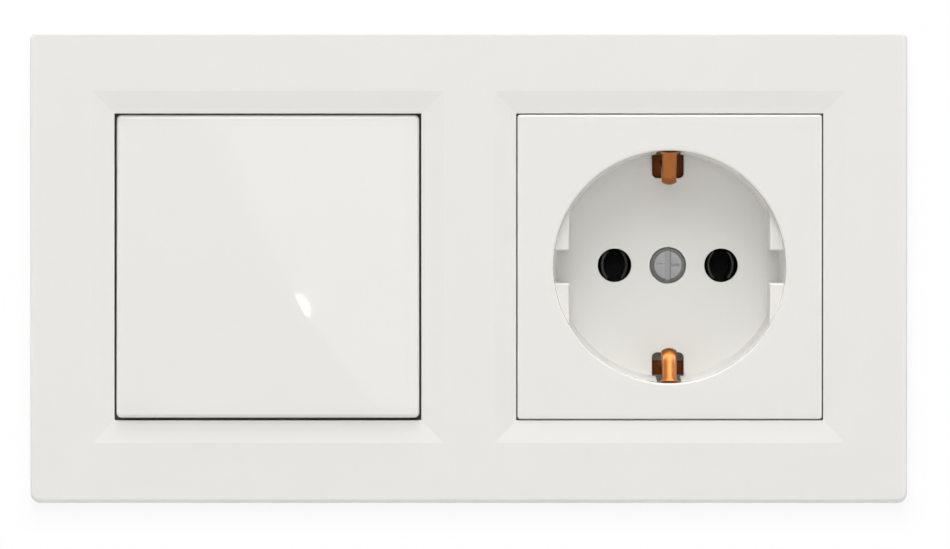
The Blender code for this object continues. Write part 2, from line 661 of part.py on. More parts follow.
def switch_base():
    """The insulating base of the switch, open to the front under its bearing cover."""
    x = SWITCH_X
    base = block("switch_base", (x - BASE_HALF_WIDTH, x + BASE_HALF_WIDTH), (FIT, SWITCH_BASE_DEPTH),
                 (-SWITCH_HALF_HEIGHT, SWITCH_HALF_HEIGHT), (BASE_CHAMFER, 1))
    claw_cheeks(base, x, BASE_HALF_WIDTH)
    room = BLOCK / 2 + FIT
    terminals = switch_terminals()
    left = terminals[0][1][0] - room
    high = terminals[1][1][1] + room
    cut(base,
        block("chamber", (x - CHAMBER_HALF_WIDTH, x + CHAMBER_HALF_WIDTH), (-PAST, CHAMBER_DEPTH),
              (-CHAMBER_HALF_HEIGHT, CHAMBER_HALF_HEIGHT)),
        block("upright_channel", (x - room, x + room), (-PAST, CHAMBER_DEPTH), (-high, high)),
        block("side_channel", (left, x), (-PAST, CHAMBER_DEPTH), (-room, room)))
    for _, centre, outward in terminals:
        terminal_room(base, centre, outward, CHAMBER_DEPTH, SWITCH_BASE_DEPTH, CHAMBER_DEPTH - PAST)
    claw_rooms(base, x)
    rivet_holes(base, x, SWITCH_RIVET_Z, -1)
    finish(base, PALE_GREY)


def switch_bearing_cover():
    """Closes the base and carries the rocker's pins in two ears."""
    x, half, up = SWITCH_X, BEARING_HALF_WIDTH, BEARING_HALF_HEIGHT
    wide, high = WINDOW_HALF_WIDTH, WINDOW_HALF_HEIGHT
    cover = block("switch_bearing_cover", (x - half, x + half), (-BEARING_THICK, 0), (-up, up),
                  (SMALL_CORNER, 2))
    cut(cover, block("stem_window", (x - wide, x + wide), (-BEARING_THICK - PAST, PAST), (-high, high),
                     (SMALL_CORNER, 2)))
    for side in (-1, 1):
        ear = x + side * EAR_X
        near, far = ear - EAR_THICK / 2, ear + EAR_THICK / 2
        join(cover,
             block("ear", (near, far), (HINGE_Y, -BEARING_THICK / 2), (-EAR_RADIUS, EAR_RADIUS)),
             rod("ear_tip", EAR_RADIUS, (near, HINGE_Y, 0), (far, HINGE_Y, 0), 16))
    cut(cover, rod("pin_hole", PIN_RADIUS + FIT, (x - half, HINGE_Y, 0), (x + half, HINGE_Y, 0), 16))
    finish(cover, PALE_GREY)


def rocker(axis):
    """The cap of the switch: a thin crowned shell with a skirt and four posts that snap into the cradle."""
    x, half = SWITCH_X, ROCKER_HALF
    back = ROCKER_FRONT + ROCKER_DEPTH
    bm = bmesh.new()
    bmesh.ops.create_cube(bm, size=1.0)
    bmesh.ops.scale(bm, vec=(2 * half, ROCKER_DEPTH, 2 * half), verts=bm.verts)
    upright = [e for e in bm.edges if abs(e.verts[0].co.y - e.verts[1].co.y) > 1e-6]
    bmesh.ops.bevel(bm, geom=upright, offset=ROCKER_CORNER, offset_type="OFFSET", segments=4, profile=0.5,
                    affect="EDGES", clamp_overlap=False)
    front = min(v.co.y for v in bm.verts)
    rim = [e for e in bm.edges if all(abs(v.co.y - front) < 1e-7 for v in e.verts)]
    bmesh.ops.bevel(bm, geom=rim, offset=ROCKER_EDGE, offset_type="OFFSET", segments=3, profile=0.5,
                    affect="EDGES", clamp_overlap=False)
    shell = from_bmesh("rocker", bm, (x, (ROCKER_FRONT + back) / 2, 0))
    join(shell, crown("rocker_crown", x, half - ROCKER_EDGE))
    inner = half - ROCKER_WALL
    cut(shell, block("rocker_inside", (x - inner, x + inner), (ROCKER_INNER, back + PAST), (-inner, inner),
                     (ROCKER_INNER_CORNER, 1)))
    for u in (-POST_X, POST_X):
        for z in (-POST_Z, POST_Z):
            join(shell, rod("snap_post", POST_RADIUS, (x + u, ROCKER_INNER - SINK, z),
                            (x + u, ROCKER_INNER + POST_LENGTH, z), 12))
    finish(shell, WHITE, axis)


def crown(name, x, half):
    """The gentle dome on the rocker's face: a grid raised by a soft curve, closed at its back."""
    cells = 10
    bm = bmesh.new()
    bmesh.ops.create_grid(bm, x_segments=cells, y_segments=cells, size=half)
    bmesh.ops.rotate(bm, verts=bm.verts, cent=(0, 0, 0), matrix=Matrix.Rotation(math.pi / 2, 3, "X"))
    for vert in bm.verts:
        u, w = vert.co.x / half, vert.co.z / half
        vert.co.y = CROWN_SINK - (ROCKER_CROWN + CROWN_SINK) * (1 - u * u) * (1 - w * w)
    rim = [e for e in bm.edges if e.is_boundary]
    grown = bmesh.ops.extrude_edge_only(bm, edges=rim)["geom"]
    skirt = [v for v in grown if isinstance(v, bmesh.types.BMVert)]
    bmesh.ops.translate(bm, vec=(0, SINK, 0), verts=skirt)
    bmesh.ops.holes_fill(bm, edges=[e for e in bm.edges if e.is_boundary], sides=0)
    bmesh.ops.recalc_face_normals(bm, faces=bm.faces)
    return from_bmesh(name, bm, (x, ROCKER_FRONT, 0))


def rocker_cradle(axis):
    """Carries the rocker on its two pins; its hollow stem holds the spring and the plunger."""
    x = SWITCH_X
    width = EAR_X - EAR_THICK / 2 - FIT
    reach = EAR_X + EAR_THICK / 2 + FIT
    cradle = block("rocker_cradle", (x - width, x + width), (CRADLE_FRONT, CRADLE_BACK),
                   (-CRADLE_HALF_HEIGHT, CRADLE_HALF_HEIGHT), (SMALL_CORNER, 2))
    join(cradle,
         rod("pins", PIN_RADIUS, (x - reach, HINGE_Y, 0), (x + reach, HINGE_Y, 0), 16),
         block("stem", (x - STEM_HALF, x + STEM_HALF), (CRADLE_BACK - SINK, STEM_END),
               (-STEM_HALF, STEM_HALF), (SMALL_CORNER, 2)))
    cut(cradle, rod("stem_bore", PLUNGER_RADIUS + RUN, (x, CRADLE_BACK, 0), (x, STEM_END + PAST, 0), 20))
    for u in (-POST_X, POST_X):
        for z in (-POST_Z, POST_Z):
            cut(cradle, rod("post_hole", POST_RADIUS + FIT, (x + u, CRADLE_FRONT - PAST, z),
                            (x + u, CRADLE_BACK + PAST, z), 12))
    finish(cradle, PALE_GREY, axis)


def cradle_spring(axis):
    """The coil spring in the stem, between its bottom and the plunger."""
    start = CRADLE_BACK + FIT + SPRING_WIRE
    end = PLUNGER_START - FIT - SPRING_WIRE
    points = 12
    total = SPRING_TURNS * points
    line = bpy.data.curves.new("cradle_spring", "CURVE")
    line.dimensions = "3D"
    line.bevel_depth = SPRING_WIRE
    line.bevel_resolution = 1
    line.use_fill_caps = True
    spline = line.splines.new("POLY")
    spline.points.add(total)
    for index, point in enumerate(spline.points):
        angle = 2 * math.pi * index / points
        y = start + (end - start) * index / total
        point.co = (SPRING_RADIUS * math.cos(angle), y, SPRING_RADIUS * math.sin(angle), 1)
    wire = bpy.data.objects.new("spring_line", line)
    TOOLS.objects.link(wire)
    bpy.context.view_layer.update()
    ready = wire.evaluated_get(bpy.context.evaluated_depsgraph_get())
    mesh = bpy.data.meshes.new_from_object(ready)
    bpy.data.objects.remove(wire, do_unlink=True)
    bm = bmesh.new()
    bm.from_mesh(mesh)
    bmesh.ops.remove_doubles(bm, verts=bm.verts, dist=0.00001)
    bmesh.ops.recalc_face_normals(bm, faces=bm.faces)
    finish(from_bmesh("cradle_spring", bm, (SWITCH_X, 0, 0)), STEEL, axis)


def plunger(axis):
    """The sprung pin whose round tip throws the contact seesaw over."""
    collar = STEM_END + PLUNGER_COLLAR
    rounding = PLUNGER_TIP_RADIUS
    profile = []
    for step in range(5):
        angle = step * math.pi / 8
        profile.append((rounding * math.sin(angle), PLUNGER_TIP_Y - rounding + rounding * math.cos(angle)))
    profile += [(PLUNGER_TIP_RADIUS, collar), (PLUNGER_RADIUS, collar - PLUNGER_STEP),
                (PLUNGER_RADIUS, PLUNGER_START), (0, PLUNGER_START)]
    finish(turned("plunger", profile, SWITCH_X, 0, 16), WHITE, axis)


def contact_seesaw(axis):
    """The moving contact strip with its two silver rivets."""
    x, half = SWITCH_X, SEESAW_HALF_WIDTH
    reach = SEESAW_REACH + CONTACT_RIVET + CONTACT_EDGE
    strip = block("contact_seesaw", (x - half, x + half), (SEESAW_FRONT, SEESAW_BACK), (-reach, reach),
                  (SMALL_CORNER, 3))
    for side, where in ((-1, "lower"), (1, "upper")):
        z = side * SEESAW_REACH
        hole = CONTACT_SHANK + FIT
        cut(strip, rod("rivet_hole", hole, (x, SEESAW_FRONT - PAST, z), (x, SEESAW_BACK + PAST, z), 12))
        flat = CONTACT_RIVET * 0.8
        front, back = SEESAW_FRONT - FIT, SEESAW_BACK + FIT
        profile = [(0, MOVING_RIVET_BACK), (flat, MOVING_RIVET_BACK),
                   (CONTACT_RIVET, MOVING_RIVET_BACK - CONTACT_HEAD_THICK * 0.4), (CONTACT_RIVET, back),
                   (CONTACT_SHANK, back), (CONTACT_SHANK, front), (CONTACT_RIVET, front),
                   (flat, front - CONTACT_HEAD_THICK), (0, front - CONTACT_HEAD_THICK)]
        rivet = turned(f"seesaw_rivet_{where}", profile, x, z, 16)
        finish(rivet, SILVER, axis)
    finish(strip, BRASS, axis)


def common_contact():
    """A strip to the common terminal, with the knife edge that the seesaw rocks on."""
    x = SWITCH_X
    start = switch_terminals()[0][1][0] - STRIP_LAP
    strip = block("common_contact", (start, x + SEESAW_HALF_WIDTH), (STRIP_FRONT, STRIP_BACK),
                  (-CONTACT_HALF_WIDTH, CONTACT_HALF_WIDTH))
    half = SEESAW_HALF_WIDTH - FIT
    knife = block("knife_edge", (x - half, x + half), (SEESAW_AXIS_Y, STRIP_FRONT + STRIP_THICK / 2),
                  (-KNIFE_BASE, KNIFE_BASE))
    finish(join(strip, taper_front(knife, 1, KNIFE_EDGE / KNIFE_BASE)), BRASS)


def fixed_contact(name, side):
    """A strip from a fixed contact rivet to the upper or the lower terminal."""
    x, half = SWITCH_X, CONTACT_HALF_WIDTH
    start = SEESAW_REACH - CONTACT_RIVET - CONTACT_EDGE
    end = switch_terminals()[1][1][1] + STRIP_LAP
    strip = block(name, (x - half, x + half), (STRIP_FRONT, STRIP_BACK), sorted((side * start, side * end)))
    z = side * SEESAW_REACH
    rivet = rod("fixed_rivet", CONTACT_RIVET, (x, FIXED_CONTACT_Y, z), (x, STRIP_FRONT + STRIP_THICK / 2, z),
                16)
    finish(join(strip, rivet), BRASS)


def socket_cover():
    """The socket's front plate and its well, with side flats, pin holes, earth slots and a screw hole."""
    x, half = SOCKET_X, COVER_HALF
    plate_back = COVER_FRONT + COVER_THICK
    cover = block("socket_cover", (x - half, x + half), (COVER_FRONT, COVER_FRONT + COVER_SKIRT), (-half, half),
                  (COVER_CORNER, 3), (COVER_EDGE, 2))
    inner = half - COVER_WALL
    cut(cover, block("cover_inside", (x - inner, x + inner), (plate_back, 0), (-inner, inner)))
    join(cover, rod("well_outside", WELL_OUTER_RADIUS, (x, COVER_FRONT + COVER_THICK / 2, 0),
                    (x, FLOOR_BACK, 0), 64))
    cut(cover, well_cutter(x))
    for side in (-1, 1):
        pin = x + side * PIN_X
        cut(cover, rod("cover_pin_hole", PIN_HOLE_RADIUS, (pin, 0, 0), (pin, FLOOR_BACK + PAST, 0), 32),
            *earth_cutters(x, side))
    cut(cover,
        rod("counterbore", COVER_SCREW_HEAD + COUNTERBORE_GAP, (x, 0, 0),
            (x, WELL_FLOOR_Y + COUNTERBORE_DEPTH, 0), 32),
        rod("screw_way", COVER_SCREW_RADIUS + FIT, (x, 0, 0), (x, FLOOR_BACK + PAST, 0), 24))
    finish(cover, WHITE)


def well_cutter(x):
    """The inside of the well: a turned form with a rounded rim, less the two notched side flats."""
    ahead = COVER_FRONT - PAST
    profile = [(0, WELL_FLOOR_Y), (WELL_FLOOR_RADIUS, WELL_FLOOR_Y)]
    fillet_y = COVER_FRONT + WELL_RIM_FILLET
    for step in range(4):
        angle = step * math.pi / 6
        profile.append((WELL_RIM_RADIUS + WELL_RIM_FILLET * (1 - math.cos(angle)),
                        fillet_y - WELL_RIM_FILLET * math.sin(angle)))
    rim = WELL_RIM_RADIUS + WELL_RIM_FILLET
    profile += [(rim, ahead), (0, ahead)]
    well = turned("well", profile, x, 0, 64)
    for side in (-1, 1):
        flat = sorted((x + side * FLAT_X, x + side * (rim + PAST)))
        for up in (-1, 1):
            cut(well, block("side_flat", flat, (FLAT_FRONT_Y, WELL_FLOOR_Y + PAST),
                            sorted((up * FLAT_NOTCH / 2, up * WELL_RIM_RADIUS))))
    return well


def earth_cutters(x, side):
    """The notch in the floor and the narrower slot in the wall for one earth finger."""
    notch = EARTH_NOTCH_WIDTH / 2
    slot = EARTH_SLOT_WIDTH / 2
    back = FLOOR_BACK + PAST
    outer = WELL_OUTER_RADIUS + PAST
    inner_block = block("earth_notch", (x - notch, x + notch), (WELL_FLOOR_Y - PAST, back),
                        sorted((side * EARTH_NOTCH_INNER, side * WELL_FLOOR_RADIUS)),
                        (EARTH_NOTCH_CORNER, 4))
    wall_block = block("earth_slot", (x - slot, x + slot), (COVER_FRONT + EARTH_SLOT_FRONT, back),
                       sorted((side * (EARTH_NOTCH_INNER + PAST), side * outer)))
    return inner_block, wall_block


def cover_screw():
    """The screw in the middle of the well, with a combined slot and cross."""
    x = SOCKET_X
    seat = WELL_FLOOR_Y + COUNTERBORE_DEPTH - FIT
    top = seat - COVER_SCREW_HEAD_THICK
    point = COVER_SCREW_END + SCREW_POINT
    profile = [(0, point), (COVER_SCREW_RADIUS / 2, point), (COVER_SCREW_RADIUS, COVER_SCREW_END),
               (COVER_SCREW_RADIUS, seat), (COVER_SCREW_HEAD, seat), (COVER_SCREW_HEAD, top + SCREW_CHAMFER),
               (COVER_SCREW_HEAD - SCREW_CHAMFER, top), (0, top)]
    screw = turned("cover_screw", profile, x, 0, 32)
    slot, arm = COVER_SLOT_HALF, COVER_CROSS_HALF
    depth = (top - PAST, top + COVER_SLOT_DEPTH)
    reach = COVER_SCREW_HEAD + PAST
    cut(screw,
        block("long_slot", (x - slot, x + slot), depth, (-reach, reach)),
        block("cross_slot", (x - arm, x + arm), depth, (-slot / 2, slot / 2)))
    finish(screw, SCREW_GREY)


def socket_terminals():
    """Name, centre, outward direction and front of the three terminals of the socket."""
    pin_front = PIN_ROOM_END - BLOCK_DEPTH
    return (("line_terminal", (SOCKET_X - PIN_X, -TERMINAL_DROP), (0, -1), pin_front),
            ("neutral_terminal", (SOCKET_X + PIN_X, -TERMINAL_DROP), (0, -1), pin_front),
            ("earth_terminal", (SOCKET_X, TERMINAL_DROP), (0, 1), WEB_BACK + FIT))


def socket_base():
    """The grey base: a ring round the well, and a body with rooms for the contacts and the earth bracket."""
    x = SOCKET_X
    half, high = BASE_HALF_WIDTH, SOCKET_HALF_HEIGHT
    base = rod("socket_base", RING_RADIUS, (x, FIT, 0), (x, RING_END, 0), 64)
    join(base, block("base_body", (x - half, x + half), (RECESS_Y - SINK, SOCKET_BASE_DEPTH), (-high, high),
                     (BASE_CHAMFER, 1)))
    for side in (-1, 1):
        boss_x = x + side * RIVET_X
        join(base, rod("rivet_boss", RIVET_BOSS, (boss_x, FIT, side * SOCKET_RIVET_Z),
                       (boss_x, RIVET_BOSS_DEPTH, side * SOCKET_RIVET_Z), 16))
    claw_cheeks(base, x, half)
    cut(base, rod("ring_bore", RING_BORE, (x, -PAST, 0), (x, RECESS_Y, 0), 64))
    web_room = WEB_HALF_WIDTH + 2 * FIT
    web_reach = WEB_REACH + WEB_END_GAP
    room = cut(block("web_room", (x - web_room, x + web_room), (RECESS_Y - PAST, WEB_BACK + FIT),
                     (-web_reach, web_reach)),
               block("bridge", (x - web_room - PAST, x + web_room + PAST), (RECESS_Y, RECESS_Y + BRIDGE_THICK),
                     (-BRIDGE_OUTER, -BRIDGE_INNER)))
    cut(base, room)
    for side in (-1, 1):
        pin = x + side * PIN_X
        tail = TAIL_HALF + RUN
        cut(base,
            rod("pin_chamber", SHROUD_OUTER + FIT, (pin, RECESS_Y - PAST, 0), (pin, TAIL_BACK + FIT, 0), 24),
            block("tail_way", (pin - tail, pin + tail), (TAIL_FRONT - RUN, TAIL_BACK + FIT),
                  (-TERMINAL_DROP - BLOCK / 2 - FIT, 0)))
    for name, centre, outward, front in socket_terminals():
        terminal_room(base, centre, outward, front, SOCKET_BASE_DEPTH, RECESS_Y - PAST)
    cut(base, rod("screw_seat", COVER_SCREW_RADIUS + FIT, (x, RECESS_Y - PAST, 0),
                  (x, COVER_SCREW_END + SCREW_POINT + RUN, 0), 24))
    claw_rooms(base, x)
    rivet_holes(base, x, SOCKET_RIVET_Z, 1)
    finish(base, GREY)


def finger_path():
    """The bend of an earth finger in its own plane: (y, distance from the centre)."""
    middle = FINGER_REACH + FINGER_THICK / 2
    web = (WEB_FRONT + WEB_BACK) / 2
    tip = (COVER_FRONT + EARTH_SLOT_FRONT + FINGER_TIP_GAP, WELL_RIM_RADIUS)
    root = [(web - ahead, middle + out) for ahead, out in FINGER_ROOT]
    bend = [(y, middle + out) for y, out in FINGER_BEND]
    return curve_through([*root, *bend, tip], 4)


def earth_bracket():
    """One strip across the base, with a sprung finger at each end that presses on a plug's earth strip."""
    x, half = SOCKET_X, WEB_HALF_WIDTH
    bracket = block("earth_bracket", (x - half, x + half), (WEB_FRONT, WEB_BACK), (-WEB_REACH, WEB_REACH),
                    (SMALL_CORNER, 3))
    path = finger_path()
    count = len(path)
    widths = []
    for index in range(count):
        share = max(0.0, 1 - (1 - index / (count - 1)) / FINGER_TIP_SHARE)
        widths.append(FINGER_WIDTH + (FINGER_TIP_WIDTH - FINGER_WIDTH) * share ** 2)
    for side in (-1, 1):
        join(bracket, ribbon("finger", [(x, y, side * r) for y, r in path], (1, 0, 0), widths, FINGER_THICK))
    cut(bracket, rod("bracket_hole", COVER_SCREW_RADIUS + 2 * FIT, (x, WEB_FRONT - PAST, 0),
                     (x, WEB_BACK + PAST, 0), 24))
    finish(bracket, COPPER)


def pin_contact(name, side):
    """Two curved leaves that grip a plug's pin, on a disc with a tail to its terminal."""
    x = SOCKET_X + side * PIN_X
    disc = rod(name, SHROUD_INNER - FIT, (x, TAIL_FRONT, 0), (x, TAIL_BACK, 0), 24)
    tail_end = -TERMINAL_DROP - BLOCK / 2 + TAIL_END
    join(disc, block("tail", (x - TAIL_HALF, x + TAIL_HALF), (TAIL_FRONT, TAIL_BACK), (tail_end, -TAIL_HALF)))
    leaf_end = (TAIL_FRONT + TAIL_BACK) / 2
    middle = (LEAF_START + leaf_end) / 2
    steps = 4
    for turn in (-1, 1):
        path = []
        for step in range(-steps, steps + 1):
            angle = LEAF_ANGLE * step / steps
            path.append((x + turn * (LEAF_REACH - LEAF_CURVE + LEAF_CURVE * math.cos(angle)), middle,
                         LEAF_CURVE * math.sin(angle)))
        join(disc, ribbon("leaf", path, (0, 1, 0), [leaf_end - LEAF_START] * len(path), LEAF_THICK))
    cut(disc, rod("tail_wire_hole", WIRE_RADIUS, (x, TAIL_FRONT - PAST, -TERMINAL_DROP),
                  (x, TAIL_BACK + PAST, -TERMINAL_DROP), 16))
    finish(disc, BRASS)


def pin_shroud(name, side):
    """The black insulating tube round a pin contact."""
    x = SOCKET_X + side * PIN_X
    tube = rod(name, SHROUD_OUTER, (x, RECESS_Y, 0), (x, PIN_ROOM_END, 0), 32)
    finish(cut(tube, rod("shroud_bore", SHROUD_INNER, (x, 0, 0), (x, PIN_ROOM_END + PAST, 0), 32)), BLACK)


def build_switch():
    wide, high = BEARING_HALF_WIDTH + FIT, BEARING_HALF_HEIGHT + FIT
    hole = block("switch_opening", (SWITCH_X - wide, SWITCH_X + wide), (PLATE_FRONT - PAST, PAST),
                 (-high, high), (SMALL_CORNER, 2))
    support_plate("switch_support_plate", SWITCH_X, hole, SWITCH_RIVET_Z, -1)
    plate_rivets("switch_plate_rivet", SWITCH_X, SWITCH_RIVET_Z, -1)
    switch_base()
    switch_bearing_cover()
    rocker_axis = joint_axis("rocker_axis", (SWITCH_X, HINGE_Y, 0))
    rocker(rocker_axis)
    rocker_cradle(rocker_axis)
    cradle_spring(rocker_axis)
    plunger(rocker_axis)
    seesaw_axis = joint_axis("seesaw_axis", (SWITCH_X, SEESAW_AXIS_Y, 0))
    contact_seesaw(seesaw_axis)
    common_contact()
    fixed_contact("upper_contact", 1)
    fixed_contact("lower_contact", -1)
    for name, centre, outward in switch_terminals():
        terminal(name, centre, outward, CHAMBER_DEPTH)
    return rocker_axis, seesaw_axis


def build_socket():
    hole = rod("socket_opening", SOCKET_OPENING, (SOCKET_X, PLATE_FRONT - PAST, 0), (SOCKET_X, PAST, 0), 64)
    support_plate("socket_support_plate", SOCKET_X, hole, SOCKET_RIVET_Z, 1)
    plate_rivets("socket_plate_rivet", SOCKET_X, SOCKET_RIVET_Z, 1)
    socket_cover()
    cover_screw()
    socket_base()
    earth_bracket()
    for name, side in (("line", -1), ("neutral", 1)):
        pin_contact(name + "_contact", side)
        pin_shroud(name + "_shroud", side)
    for name, centre, outward, front in socket_terminals():
        terminal(name, centre, outward, front)


cover_frame()
rocker_axis, seesaw_axis = build_switch()
build_socket()
for gang_name, gang in (("switch", SWITCH_X), ("socket", SOCKET_X)):
    for side, where in ((-1, "left"), (1, "right")):
        claw(f"{gang_name}_claw_{where}", gang, side)
        claw_screw(f"{gang_name}_claw_screw_{where}", gang, side)

# At rest the rocker's upper half is pressed in, and the seesaw lies over the other way.
rocker_axis.rotation_euler.x = -ROCKER_TILT
seesaw_axis.rotation_euler.x = SEESAW_TILT
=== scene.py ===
# %% [markdown]
# # A light switch and an earthed socket under one white frame
# This lesson dresses a finished CAD model for a picture. The CAD model already holds every piece at its real
# size. Here the pieces that the eye meets get finer shapes, every piece gets a finish made of nodes, and the
# whole is lit and seen through a camera. The real object is about 155 mm wide, so the sizes of its pieces are
# written in millimetres, and one name turns them into metres. The stage, the lamps and the camera have their
# places in metres.

# %% Load the model
import json
import math
from contextlib import contextmanager

import bmesh
import bpy
from mathutils import Matrix, Vector

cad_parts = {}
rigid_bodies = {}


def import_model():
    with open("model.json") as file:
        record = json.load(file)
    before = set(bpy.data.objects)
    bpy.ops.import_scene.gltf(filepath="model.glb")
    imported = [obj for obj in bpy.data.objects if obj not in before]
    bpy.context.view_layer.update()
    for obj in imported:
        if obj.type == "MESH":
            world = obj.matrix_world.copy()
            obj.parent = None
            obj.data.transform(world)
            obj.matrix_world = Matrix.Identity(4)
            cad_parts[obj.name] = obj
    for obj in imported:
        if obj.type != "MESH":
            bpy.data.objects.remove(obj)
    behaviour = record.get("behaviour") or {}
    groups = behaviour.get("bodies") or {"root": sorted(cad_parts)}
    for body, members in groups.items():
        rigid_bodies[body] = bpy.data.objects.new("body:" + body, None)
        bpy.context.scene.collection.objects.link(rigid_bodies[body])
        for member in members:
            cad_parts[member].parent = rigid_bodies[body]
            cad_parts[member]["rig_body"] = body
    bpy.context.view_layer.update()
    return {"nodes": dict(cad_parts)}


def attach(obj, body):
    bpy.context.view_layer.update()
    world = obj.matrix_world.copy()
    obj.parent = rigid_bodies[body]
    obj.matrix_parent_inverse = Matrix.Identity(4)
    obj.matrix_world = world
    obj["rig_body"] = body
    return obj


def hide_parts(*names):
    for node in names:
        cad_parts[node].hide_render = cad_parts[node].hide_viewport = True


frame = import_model()
MM = 0.001

# %% [markdown]
# ## Working in Blender without a window
# An operator acts on whatever is selected, so each step first selects one piece alone. In edit mode the faces
# and edges are chosen by where they are, with a small test, instead of by clicking on them.


# %% Selecting and editing
def only(piece):
    """Leave edit mode and select one piece alone."""
    if bpy.context.mode != "OBJECT":
        bpy.ops.object.mode_set(mode="OBJECT")
    bpy.ops.object.select_all(action="DESELECT")
    piece.select_set(True)
    bpy.context.view_layer.objects.active = piece
    return piece


def named(name):
    """Name the primitive that was just added and put its place and size into its mesh."""
    piece = only(bpy.context.object)
    piece.name = piece.data.name = name
    bpy.ops.object.transform_apply(location=True, rotation=True, scale=True)
    return piece


@contextmanager
def editing(piece):
    """Go into edit mode with one piece alone, and leave it again at the end of the block."""
    only(piece)
    bpy.ops.object.mode_set(mode="EDIT")
    yield
    bpy.ops.object.mode_set(mode="OBJECT")


def choose(kind, test):
    """In edit mode, select the vertices, edges or faces that pass a test, and nothing else."""
    bpy.ops.mesh.select_mode(type=kind)
    bpy.ops.mesh.select_all(action="DESELECT")
    mesh = bpy.context.object.data
    shape = bmesh.from_edit_mesh(mesh)
    items = {"VERT": shape.verts, "EDGE": shape.edges, "FACE": shape.faces}[kind]
    for item in [item for item in items if test(item)]:
        item.select_set(True)
    bmesh.update_edit_mesh(mesh)


def apply(piece, kind, **settings):
    """Add one modifier, set it and apply it."""
    only(piece)
    step = piece.modifiers.new(kind.lower(), kind)
    for key, value in settings.items():
        setattr(step, key, value)
    bpy.ops.object.modifier_apply(modifier=step.name)
    return piece


# %% [markdown]
# ## Blocks, turned forms and cuts
# Almost everything in moulded electrical fittings is a block with rounded edges, a turned form, or one of
# these cut out of another. A block starts as a primitive cube whose edges are bevelled. A turned form starts
# as one vertex that is extruded along its profile and then spun about the axis that looks at the viewer.


# %% Blocks
def cube(name, x, y, z):
    """A cube between three pairs of limits in millimetres."""
    limits = [(low * MM, high * MM) for low, high in (x, y, z)]
    bpy.ops.object.select_all(action="DESELECT")
    bpy.ops.mesh.primitive_cube_add(size=1, location=[(a + b) / 2 for a, b in limits],
                                    scale=[b - a for a, b in limits])
    return named(name)


def rounded_block(name, x, y, z, corner, edge, steps=8):
    """A block with round upright corners, and a round edge where its sides meet its front."""
    piece = cube(name, x, y, z)
    front = y[0] * MM
    with editing(piece):
        choose("EDGE", lambda e: abs(e.verts[0].co.y - e.verts[1].co.y) > 1e-6)
        bpy.ops.mesh.bevel(offset=corner * MM, segments=steps, affect="EDGES")
        choose("EDGE", lambda e: all(abs(v.co.y - front) < 1e-7 for v in e.verts))
        bpy.ops.mesh.bevel(offset=edge * MM, segments=max(3, steps // 2), affect="EDGES")
    return piece


def about(middle, half):
    """The two limits that lie half a width either side of a middle."""
    return middle - half, middle + half


# %% Turned forms
def turned(name, profile, x, z=0.0, steps=128):
    """Spin a profile of (radius, y) points, in millimetres, about an axis along Y."""
    start = profile[0]
    bpy.ops.object.select_all(action="DESELECT")
    bpy.ops.mesh.primitive_plane_add(size=MM, location=((x + start[0]) * MM, start[1] * MM, z * MM))
    piece = named(name)
    with editing(piece):
        bpy.ops.mesh.select_mode(type="VERT")
        bpy.ops.mesh.select_all(action="SELECT")
        bpy.ops.mesh.merge(type="CENTER")
        for (r0, y0), (r1, y1) in zip(profile, profile[1:]):
            step = ((r1 - r0) * MM, (y1 - y0) * MM, 0)
            bpy.ops.mesh.extrude_vertices_move(TRANSFORM_OT_translate={"value": step})
        bpy.ops.mesh.select_all(action="SELECT")
        bpy.ops.mesh.spin(steps=steps, angle=2 * math.pi, center=(x * MM, 0, z * MM), axis=(0, 1, 0))
        bpy.ops.mesh.select_all(action="SELECT")
        bpy.ops.mesh.remove_doubles(threshold=1e-6)
        bpy.ops.mesh.normals_make_consistent(inside=False)
    return piece


def arc(middle, radius, start, end, steps):
    """Points on an arc, with its angles in degrees."""
    angles = [math.radians(start + (end - start) * step / steps) for step in range(steps + 1)]
    return [(middle[0] + radius * math.cos(a), middle[1] + radius * math.sin(a)) for a in angles]


# %% Cuts and joins
def carve(piece, *tools, operation="DIFFERENCE"):
    """Cut tools out of a piece, or join them to it, and throw the tools away."""
    for tool in tools:
        apply(piece, "BOOLEAN", operation=operation, solver="EXACT", object=tool)
        bpy.data.objects.remove(tool, do_unlink=True)
    return piece


def soften(piece, width, steps=3, angle=35, flat=0.05, plane=0.0):
    """Round every sharp edge a little, as a mould does, and shade the piece smooth.

    Faces that look to the front or back within the angle called plane stay flat, so they meet at crisp lines.
    """
    with editing(piece):
        bpy.ops.mesh.select_all(action="SELECT")
        bpy.ops.mesh.remove_doubles(threshold=1e-6)
        if flat:
            bpy.ops.mesh.dissolve_limited(angle_limit=math.radians(flat))
    if width:
        apply(piece, "BEVEL", width=width * MM, segments=steps, limit_method="ANGLE",
              angle_limit=math.radians(angle), use_clamp_overlap=False)
    only(piece)
    bpy.ops.object.shade_smooth_by_angle(angle=math.radians(angle))
    if plane:
        with editing(piece):
            choose("FACE", lambda f: abs(f.normal.y) > math.cos(math.radians(plane)))
            bpy.ops.mesh.faces_shade_flat()
    return apply(piece, "WEIGHTED_NORMAL", keep_sharp=True, weight=80)


# %% [markdown]
# ## Finishes as sums
# A finish is a Principled shader with a few nodes before it. Wiring nodes by hand hides the idea, so a small
# class wraps a node's output and lets it be added and multiplied like a number. What is the same all over a
# surface is set on the shader itself, and only what changes is wired.


# %% A value that changes over a surface
class Field:
    """Wraps a node's output, so that shader maths can be written as sums."""

    def __init__(self, finish, socket):
        self.finish, self.socket = finish, socket

    def maths(self, operation, first, second):
        """One maths node; either input may be a field or a number."""
        return self.finish.node("ShaderNodeMath", {"operation": operation}, {0: first, 1: second})

    def __add__(self, other):
        return self.maths("ADD", self, other)

    def __radd__(self, other):
        return self.maths("ADD", other, self)

    def __sub__(self, other):
        return self.maths("SUBTRACT", self, other)

    def __mul__(self, other):
        return self.maths("MULTIPLY", self, other)

    def __rmul__(self, other):
        return self.maths("MULTIPLY", other, self)


